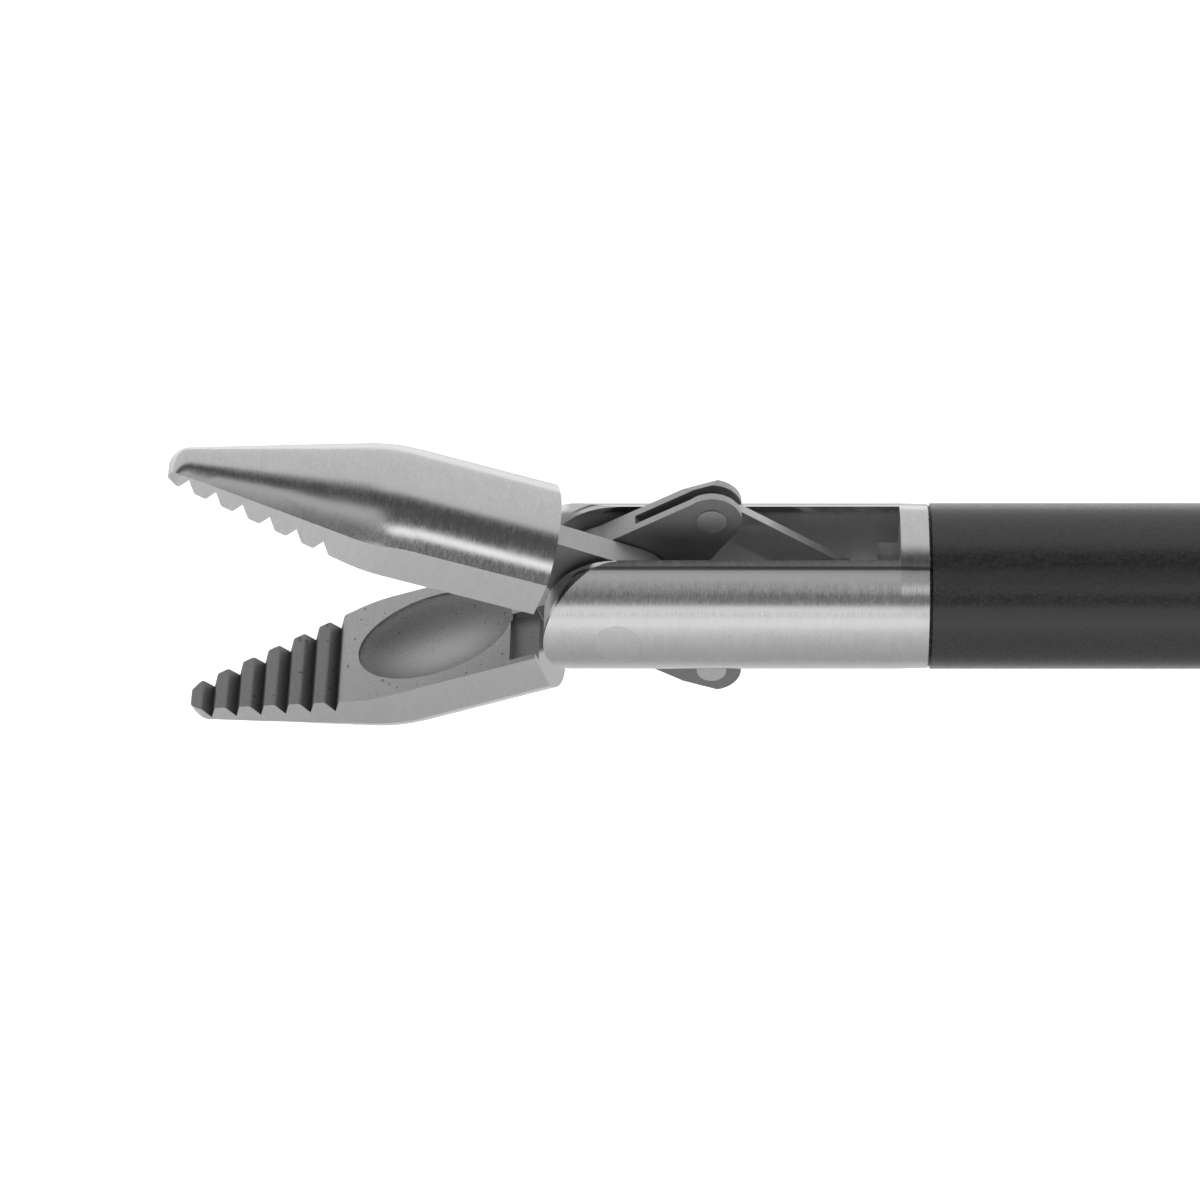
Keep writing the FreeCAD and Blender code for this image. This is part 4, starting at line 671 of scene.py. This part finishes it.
@dataclass(frozen=True)
class Polymer(Finish):
    """Moulded or extruded plastic and rubber.

    Attributes:
        colour: Colour of the plastic.
        roughness: Mean roughness.
        roughness_spread: How far the grain changes the roughness to either side.
        grain_size: Size of the surface grain.
        grain_depth: Depth of the grain, as a share of its size.
        grain_gain: How much brighter the grain's light places are.
        grain_lift: What is added to their colour.
        relief: Strength of the grain in the relief.
        stretch: Pattern scale along X against Y and Z, under 1 for an extrusion.
        marks: How far handling marks change the roughness.
        mark_size: Size of the handling marks.
    """

    colour: Colour = (0.02, 0.02, 0.022)
    roughness: float = 0.42
    roughness_spread: float = 0.04
    grain_size: float = 0.35 * MM
    grain_depth: float = 0.12
    grain_gain: float = 1.25
    grain_lift: float = 0.002
    relief: float = 0.12
    stretch: float = 1.0
    marks: float = -0.06
    mark_size: float = 12.0 * MM

    def material(self) -> bpy.types.Material:
        """Build the material.

        Returns:
            The material.
        """
        material, tree, shader = self.start()
        place = coordinate(tree, "Object")
        drawn = scaled(tree, place, (self.stretch, 1.0, 1.0))
        grain = EFFECTS.place(tree, EFFECTS.mould_grain, Vector=drawn, Size=self.grain_size)
        marks = EFFECTS.place(tree, EFFECTS.handling, Vector=place, Size=self.mark_size)
        tone = grain.outputs["Tone"]
        light = tuple(channel * self.grain_gain + self.grain_lift for channel in self.colour)
        rough = remap(tree, tone, (0.0, 1.0), self.roughness - self.roughness_spread,
                      self.roughness + self.roughness_spread)
        worn = math_node(tree, "MULTIPLY_ADD", marks.outputs["Mask"], self.marks, rough)
        tree.links.new(colour_blend(tree, tone, self.colour, light), shader.inputs["Base Color"])
        tree.links.new(worn, shader.inputs["Roughness"])
        emboss(tree, shader, grain.outputs["Height"], self.relief, self.grain_size * self.grain_depth)
        return material


class Dresser:
    """Gives the CAD nodes their finishes, and keeps each finish's material."""

    def __init__(self) -> None:
        """Start without materials."""
        self.made: dict[str, bpy.types.Material] = {}

    def finish(self, finish: Finish) -> bpy.types.Material:
        """The material of a finish, built at its first use.

        Args:
            finish: The finish.

        Returns:
            Its material.
        """
        if finish.name not in self.made:
            self.made[finish.name] = finish.material()
        return self.made[finish.name]

    def dress(self, names: tuple[str, ...], finish: Finish) -> None:
        """Put a finish on CAD nodes.

        Args:
            names: Names of the nodes.
            finish: The finish that they share.
        """
        material = self.finish(finish)
        for name in names:
            piece = NODES[name]
            piece.data.materials.clear()
            piece.data.materials.append(material)
            LOG.info("%s dressed in %s", name, finish.name)


DRESSER = Dresser()


@dataclass
class WorkingEnd:
    """Jaws, linkage and yoke: the end that the photograph shows."""

    upper_jaw: JawSteel = JawSteel("upper_jaw_steel", side=1)
    lower_jaw: JawSteel = JawSteel("lower_jaw_steel", side=-1)
    yoke: Steel = Steel("yoke_satin", colour=(0.54, 0.54, 0.54), roughness=0.17, grain=Grain.SATIN,
                        scratch=0.05, marks=0.02, milled=0.62, shade_line=1.36 * MM)
    links: Steel = Steel("link_satin", colour=(0.5, 0.5, 0.5), roughness=0.34, grain=Grain.SATIN,
                         scratch=0.05, marks=0.02, milled=0.55)
    pins: Steel = Steel("pin_ground", colour=(0.54, 0.54, 0.54), roughness=0.4, grain=Grain.SATIN,
                        scratch=0.04, marks=0.02)

    def dress(self) -> None:
        """Put the finishes on."""
        DRESSER.dress(("upper_jaw",), self.upper_jaw)
        DRESSER.dress(("lower_jaw",), self.lower_jaw)
        DRESSER.dress(("clevis",), self.yoke)
        DRESSER.dress(("upper_link", "lower_link", "rod_end"), self.links)
        DRESSER.dress(("jaw_pivot_pin", "upper_knuckle_pin", "lower_knuckle_pin"), self.pins)
        DRESSER.dress(("link_pin", "catch_pin"), self.pins)


@dataclass
class Shaft:
    """Insulated tube, hub, knob and the rod inside."""

    sleeve: Polymer = Polymer("sleeve_black", colour=(0.017, 0.017, 0.018), roughness=0.25,
                              grain_size=0.11 * MM, relief=0.1, stretch=0.8, marks=-0.01)
    knob: Polymer = Polymer("knob_black", roughness=0.44, grain_size=0.4 * MM, relief=0.14)
    hub: Steel = Steel("hub_turned", colour=(0.55, 0.55, 0.55), roughness=0.24)
    rod: Steel = Steel("rod_drawn", colour=(0.54, 0.54, 0.54), roughness=0.24, grain=Grain.ALONG_X)
    seals: Polymer = Polymer("seal_silicone", colour=(0.2, 0.21, 0.22), roughness=0.5, grain_size=0.2 * MM,
                             relief=0.05)
    clip: Steel = Steel("clip_spring_steel", colour=(0.42, 0.42, 0.42), roughness=0.34, grain=Grain.FLAT_XZ)

    def dress(self) -> None:
        """Put the finishes on."""
        DRESSER.dress(("insulating_sleeve",), self.sleeve)
        DRESSER.dress(("rotation_knob",), self.knob)
        DRESSER.dress(("shaft_hub", "rinsing_port"), self.hub)
        DRESSER.dress(("push_rod", "rod_ball", "shaft_tube"), self.rod)
        DRESSER.dress(("hub_o_rings", "rod_seals"), self.seals)
        DRESSER.dress(("retaining_ring", "contact_leaf"), self.clip)


@dataclass
class Handle:
    """Ring handle, thumb lever, ratchet, port cap and electrode post."""

    shells: Polymer = Polymer("handle_black", colour=(0.021, 0.021, 0.023), grain_size=0.4 * MM, relief=0.14)
    lever: Polymer = Polymer("lever_black", colour=(0.023, 0.023, 0.025), roughness=0.4, grain_size=0.4 * MM,
                             relief=0.14)
    liners: Polymer = Polymer("liner_soft", colour=(0.09, 0.095, 0.1), roughness=0.62, grain_size=0.3 * MM,
                              relief=0.1)
    screws: Steel = Steel("screw_turned", colour=(0.58, 0.58, 0.58), grain=Grain.ROUND_Z)
    ratchet: Steel = Steel("ratchet_stamped", colour=(0.56, 0.56, 0.56), roughness=0.3, grain=Grain.FLAT_XZ)
    cap: Polymer = Polymer("cap_grey", colour=(0.16, 0.165, 0.17), roughness=0.4, grain_size=0.3 * MM,
                           relief=0.1)
    post: Steel = Steel("post_plated", colour=(0.66, 0.6, 0.46), roughness=0.2, grain=Grain.ROUND_Y)

    def dress(self) -> None:
        """Put the finishes on."""
        DRESSER.dress(("handle_shell_right", "handle_shell_left"), self.shells)
        DRESSER.dress(("thumb_lever",), self.lever)
        DRESSER.dress(("thumb_ring_liner", "finger_ring_liner"), self.liners)
        DRESSER.dress(("case_screws", "lever_screw", "lever_nut", "ratchet_rivets"), self.screws)
        DRESSER.dress(("ratchet_bar", "ratchet_catch"), self.ratchet)
        DRESSER.dress(("port_cap",), self.cap)
        DRESSER.dress(("electrode_post",), self.post)


@dataclass
class Workshop:
    """Turns finished bmeshes into pieces that ride on a body.

    Attributes:
        merge_distance: Vertices closer than this are one.
        crisp_angle: Edges that turn further than this aren't shaded smooth.
    """

    merge_distance: float = 0.0005 * MM
    crisp_angle: float = math.radians(35.0)

    def piece(self, name: str, work: bmesh.types.BMesh, body: str, finish: Finish,
              slot: str) -> bpy.types.Object:
        """Make an object of a bmesh.

        Args:
            name: Name of the piece.
            work: The shape, which is freed here.
            body: Body that carries it.
            finish: Its finish.
            slot: Material slot of the record that stands for that finish; not used.

        Returns:
            The new object, at the origin.
        """
        bmesh.ops.remove_doubles(work, verts=work.verts, dist=self.merge_distance)
        bmesh.ops.recalc_face_normals(work, faces=work.faces)
        for face in work.faces:
            face.smooth = True
        for edge in work.edges:
            edge.smooth = len(edge.link_faces) == 2 and edge.calc_face_angle(0.0) < self.crisp_angle
        mesh = bpy.data.meshes.new(name)
        work.to_mesh(mesh)
        work.free()
        mesh.materials.append(DRESSER.finish(finish))
        made = bpy.data.objects.new(name, mesh)
        bpy.context.scene.collection.objects.link(made)
        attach(made, body)
        LOG.info("%s rides on %s", name, body)
        return made


WORKSHOP = Workshop()


@dataclass
class KnobMark:
    """Raised bead on the knob's nose that shows which way the jaws lie.

    Attributes:
        along: Distance of the bead behind the knob's front face.
        radius: Half the bead's width.
        stretch: Its length, width and height as shares of its width.
        meridians: Faces around the bead.
        rings: Faces from pole to pole.
        finish: Finish of the bead.
    """

    along: float = 5.2 * MM
    radius: float = 1.1 * MM
    stretch: tuple[float, float, float] = (1.6, 1.0, 0.35)
    meridians: int = 32
    rings: int = 16
    finish: Polymer = Polymer("mark_white", colour=(0.62, 0.62, 0.6), grain_size=0.3 * MM, relief=0.05)

    def build(self) -> None:
        """Set the bead on the cone of the knob, over the jaws' middle plane."""
        spot, normal = self._seat()
        axes = Vector((normal.z, 0.0, -normal.x)), Vector((0.0, 1.0, 0.0)), normal
        work = bmesh.new()
        bmesh.ops.create_uvsphere(work, u_segments=self.meridians, v_segments=self.rings, radius=self.radius)
        bmesh.ops.scale(work, vec=self.stretch, verts=work.verts)
        bmesh.ops.transform(work, matrix=Matrix(axes).transposed(), verts=work.verts)
        bmesh.ops.translate(work, vec=spot, verts=work.verts)
        WORKSHOP.piece("knob_mark", work, "shaft", self.finish, "knob_plastic")

    def _seat(self) -> tuple[Vector, Vector]:
        """Find the knob's surface straight above the shaft.

        Returns:
            A point of the surface and the surface's normal there.
        """
        low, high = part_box("rotation_knob")
        knob = NODES["rotation_knob"].data
        surface = BVHTree.FromPolygons([v.co for v in knob.vertices], [p.vertices for p in knob.polygons])
        start = Vector((low.x + self.along, 0.0, high.z + self.radius))
        spot, normal = surface.ray_cast(start, Vector((0.0, 0.0, -1.0)))[:2]
        return spot, normal


@dataclass(frozen=True)
class FloorPaint(Finish):
    """Matt pale paint that reads as white to the camera and keeps the shadow.

    Attributes:
        colour: Colour of the paint.
        roughness: Its roughness.
        glow: Strength of the glow that brings it to white for the camera and in reflections.
        painted_shadow_range: Distances from the shaft's line at which reflections show none and all of that
            glow, a painted shadow of the instrument in the floor that the metal mirrors.
    """

    colour: Colour = (0.76, 0.76, 0.76)
    roughness: float = 0.9
    glow: float = 0.5
    painted_shadow_range: tuple[float, float] = (4.0 * MM, 70.0 * MM)

    def material(self) -> bpy.types.Material:
        """Build the material.

        Returns:
            The material.
        """
        material, tree, shader = self.start()
        shader.inputs["Base Color"].default_value = opaque(self.colour)
        shader.inputs["Roughness"].default_value = self.roughness
        shader.inputs["Specular IOR Level"].default_value = 0.0
        path = add_node(tree, "ShaderNodeLightPath").outputs
        # Painted shadow: the glow that the metal mirrors fades out near the shaft's line, in place of the
        # instrument's shadow.
        from_line = math_node(tree, "ABSOLUTE", component(tree, coordinate(tree, "Object"), "Y"))
        glow_beyond_shadow = remap(tree, from_line, self.painted_shadow_range, 0.0, self.glow)
        mirrored = math_node(tree, "MAXIMUM", path["Is Glossy Ray"], path["Is Transmission Ray"])
        mirrored = math_node(tree, "MULTIPLY", mirrored, glow_beyond_shadow)
        strength = math_node(tree, "MULTIPLY_ADD", path["Is Camera Ray"], self.glow, mirrored)
        lift = add_node(tree, "ShaderNodeEmission", {"Color": (1.0, 1.0, 1.0, 1.0), "Strength": strength})
        both = add_node(tree, "ShaderNodeAddShader", {0: shader.outputs["BSDF"], 1: lift.outputs["Emission"]})
        output = next(node for node in tree.nodes if node.type == "OUTPUT_MATERIAL")
        tree.links.new(both.outputs[0], output.inputs["Surface"])
        return material


@dataclass(frozen=True)
class SoftLamp:
    """Square area lamp that the metal doesn't mirror.

    Attributes:
        name: Name of the lamp.
        place: Its middle.
        size: Length of its side.
        power: Power in watts.
    """

    name: str
    place: tuple[float, float, float]
    size: float
    power: float

    def hang(self, target: Vector) -> None:
        """Hang the lamp so that it faces a point.

        Args:
            target: The point.
        """
        light = bpy.data.lights.new(self.name, "AREA")
        light.shape = "SQUARE"
        light.size = self.size
        light.energy = self.power
        lamp = bpy.data.objects.new(self.name, light)
        lamp.location = self.place
        lamp.rotation_mode = "QUATERNION"
        lamp.rotation_quaternion = (Vector(self.place) - target).to_track_quat("Z", "Y")
        lamp.visible_glossy = False
        bpy.context.scene.collection.objects.link(lamp)


@dataclass
class Studio:
    """Pale floor, soft light and the camera.

    Attributes:
        floor_middle: Middle of the floor along the shaft.
        floor_width: Side of the square floor.
        paint: Finish of the floor.
        surround: Brightness of the surround, as angles in degrees from the front over the top to the back,
            each with its level.
        jaw_surround: The same for directions towards the handle, which the open upper jaw mirrors.
        handle_edge: How far towards the handle a direction points where the second surround takes over.
        handle_blend: How far to either side of that edge the two are blended.
        lamps: The soft lamps.
        lamp_target: Point of the instrument that they face.
        look_at: Middle of the picture, on the instrument.
        camera_reach: Camera from that middle.
        lens: Focal length in mm.
        sensor: Width of the camera's sensor in mm.
        clip: Nearest and furthest distance that the camera sees.
    """

    floor_middle: float = 0.2
    floor_width: float = 40.0
    paint: FloorPaint = FloorPaint("floor_pale")
    surround: tuple[tuple[float, float], ...] = (
        (0.0, 0.95), (13.0, 1.3), (19.0, 0.3), (30.0, 0.22), (44.0, 0.46), (53.0, 0.68), (62.0, 0.66),
        (70.0, 0.2), (79.0, 0.1), (89.0, 0.12), (97.0, 0.4), (106.0, 0.85), (180.0, 0.9),
    )
    jaw_surround: tuple[tuple[float, float], ...] = (
        (0.0, 0.95), (10.0, 0.9), (17.0, 0.2), (31.0, 0.15), (35.0, 1.6), (42.0, 1.9), (47.0, 0.5),
        (52.0, 0.13), (84.0, 0.1), (91.0, 0.25), (96.0, 0.85), (180.0, 0.9),
    )
    handle_edge: float = 0.11
    handle_blend: float = 0.05
    lamps: tuple[SoftLamp, ...] = (
        SoftLamp("lamp_back", (0.15, 0.9, 1.3), size=1.4, power=12.0),
        SoftLamp("lamp_front", (-0.1, -1.2, 0.9), size=1.2, power=5.0),
    )
    lamp_target: Vector = field(default_factory=lambda: Vector((0.15, 0.0, 0.0)))
    look_at: Vector = field(default_factory=lambda: Vector((-9.94, -0.30, -0.30)) * MM)
    camera_reach: Vector = field(default_factory=lambda: Vector((3.08, -110.27, 110.31)) * MM)
    lens: float = 155.0
    sensor: float = 36.0
    clip: tuple[float, float] = (0.01, 100.0)

    def build(self) -> None:
        """Make floor, world, lamps and camera."""
        self.floor()
        self.world()
        for lamp in self.lamps:
            lamp.hang(self.lamp_target)
        self.camera()
        bpy.context.scene.view_settings.view_transform = "Standard"

    def floor(self) -> None:
        """A pale floor under the lowest point of the instrument."""
        mesh = bpy.data.meshes.new("studio_floor")
        work = bmesh.new()
        level = Matrix.Translation((self.floor_middle, 0.0, CAD_BOX[0].z))
        bmesh.ops.create_grid(work, x_segments=1, y_segments=1, size=self.floor_width / 2, matrix=level)
        work.to_mesh(mesh)
        work.free()
        floor = bpy.data.objects.new("studio_floor", mesh)
        bpy.context.scene.collection.objects.link(floor)
        mesh.materials.append(self.paint.material())

    def world(self) -> None:
        """Studio surround: bright low front and back, with the dark ceiling gap that metal needs."""
        world = bpy.data.worlds.new("studio")
        bpy.context.scene.world = world
        world.use_nodes = True
        tree = world.node_tree
        tree.nodes.clear()
        direction = coordinate(tree, "Generated")
        front = math_node(tree, "MULTIPLY", component(tree, direction, "Y"), -1.0)
        angle = math_node(tree, "ARCTAN2", component(tree, direction, "Z"), front)
        turn = math_node(tree, "DIVIDE", angle, math.pi)
        edge = (self.handle_edge - self.handle_blend, self.handle_edge + self.handle_blend)
        side = remap(tree, component(tree, direction, "X"), edge, 0.0, 1.0)
        lit = colour_blend(tree, side, self._bands(tree, turn, self.surround),
                           self._bands(tree, turn, self.jaw_surround))
        background = add_node(tree, "ShaderNodeBackground", {"Color": lit, "Strength": 1.0})
        output = tree.nodes.new("ShaderNodeOutputWorld")
        tree.links.new(background.outputs[0], output.inputs["Surface"])

    def _bands(self, tree: bpy.types.NodeTree, turn: Value, stops: tuple) -> bpy.types.NodeSocket:
        """Brightness of the surround around the shaft's axis, as a colour ramp.

        Args:
            tree: The world's node tree.
            turn: Socket with the direction's angle from the front over the top, as a share of half a turn.
            stops: Angles in degrees from 0 to 180, each with its level.

        Returns:
            The colour socket.
        """
        ramp = add_node(tree, "ShaderNodeValToRGB", {"Fac": turn})
        elements = ramp.color_ramp.elements
        for degrees, _ in stops[1:-1]:
            elements.new(degrees / 180.0)
        for element, (_, level) in zip(elements, stops):
            element.color = (level, level, level, 1.0)
        return ramp.outputs["Color"]

    def camera(self) -> None:
        """The camera at the photograph's viewing angle, with the shaft level in the picture."""
        data = bpy.data.cameras.new("camera")
        data.lens = self.lens
        data.sensor_width = self.sensor
        data.clip_start, data.clip_end = self.clip
        camera = bpy.data.objects.new("camera", data)
        bpy.context.scene.collection.objects.link(camera)
        back = self.camera_reach.normalized()
        along_shaft = Vector((1.0, 0.0, 0.0))
        right = (along_shaft - back * along_shaft.dot(back)).normalized()
        axes = Matrix((right, back.cross(right), back)).transposed()
        camera.location = self.look_at + self.camera_reach
        camera.rotation_mode = "QUATERNION"
        camera.rotation_quaternion = axes.to_quaternion()
        bpy.context.scene.camera = camera


def main() -> None:
    """Build every sub-assembly in order."""
    logging.basicConfig(level=logging.INFO)
    Studio().build()
    WorkingEnd().dress()
    Shaft().dress()
    Handle().dress()
    KnobMark().build()


if __name__ == "__main__":
    main()
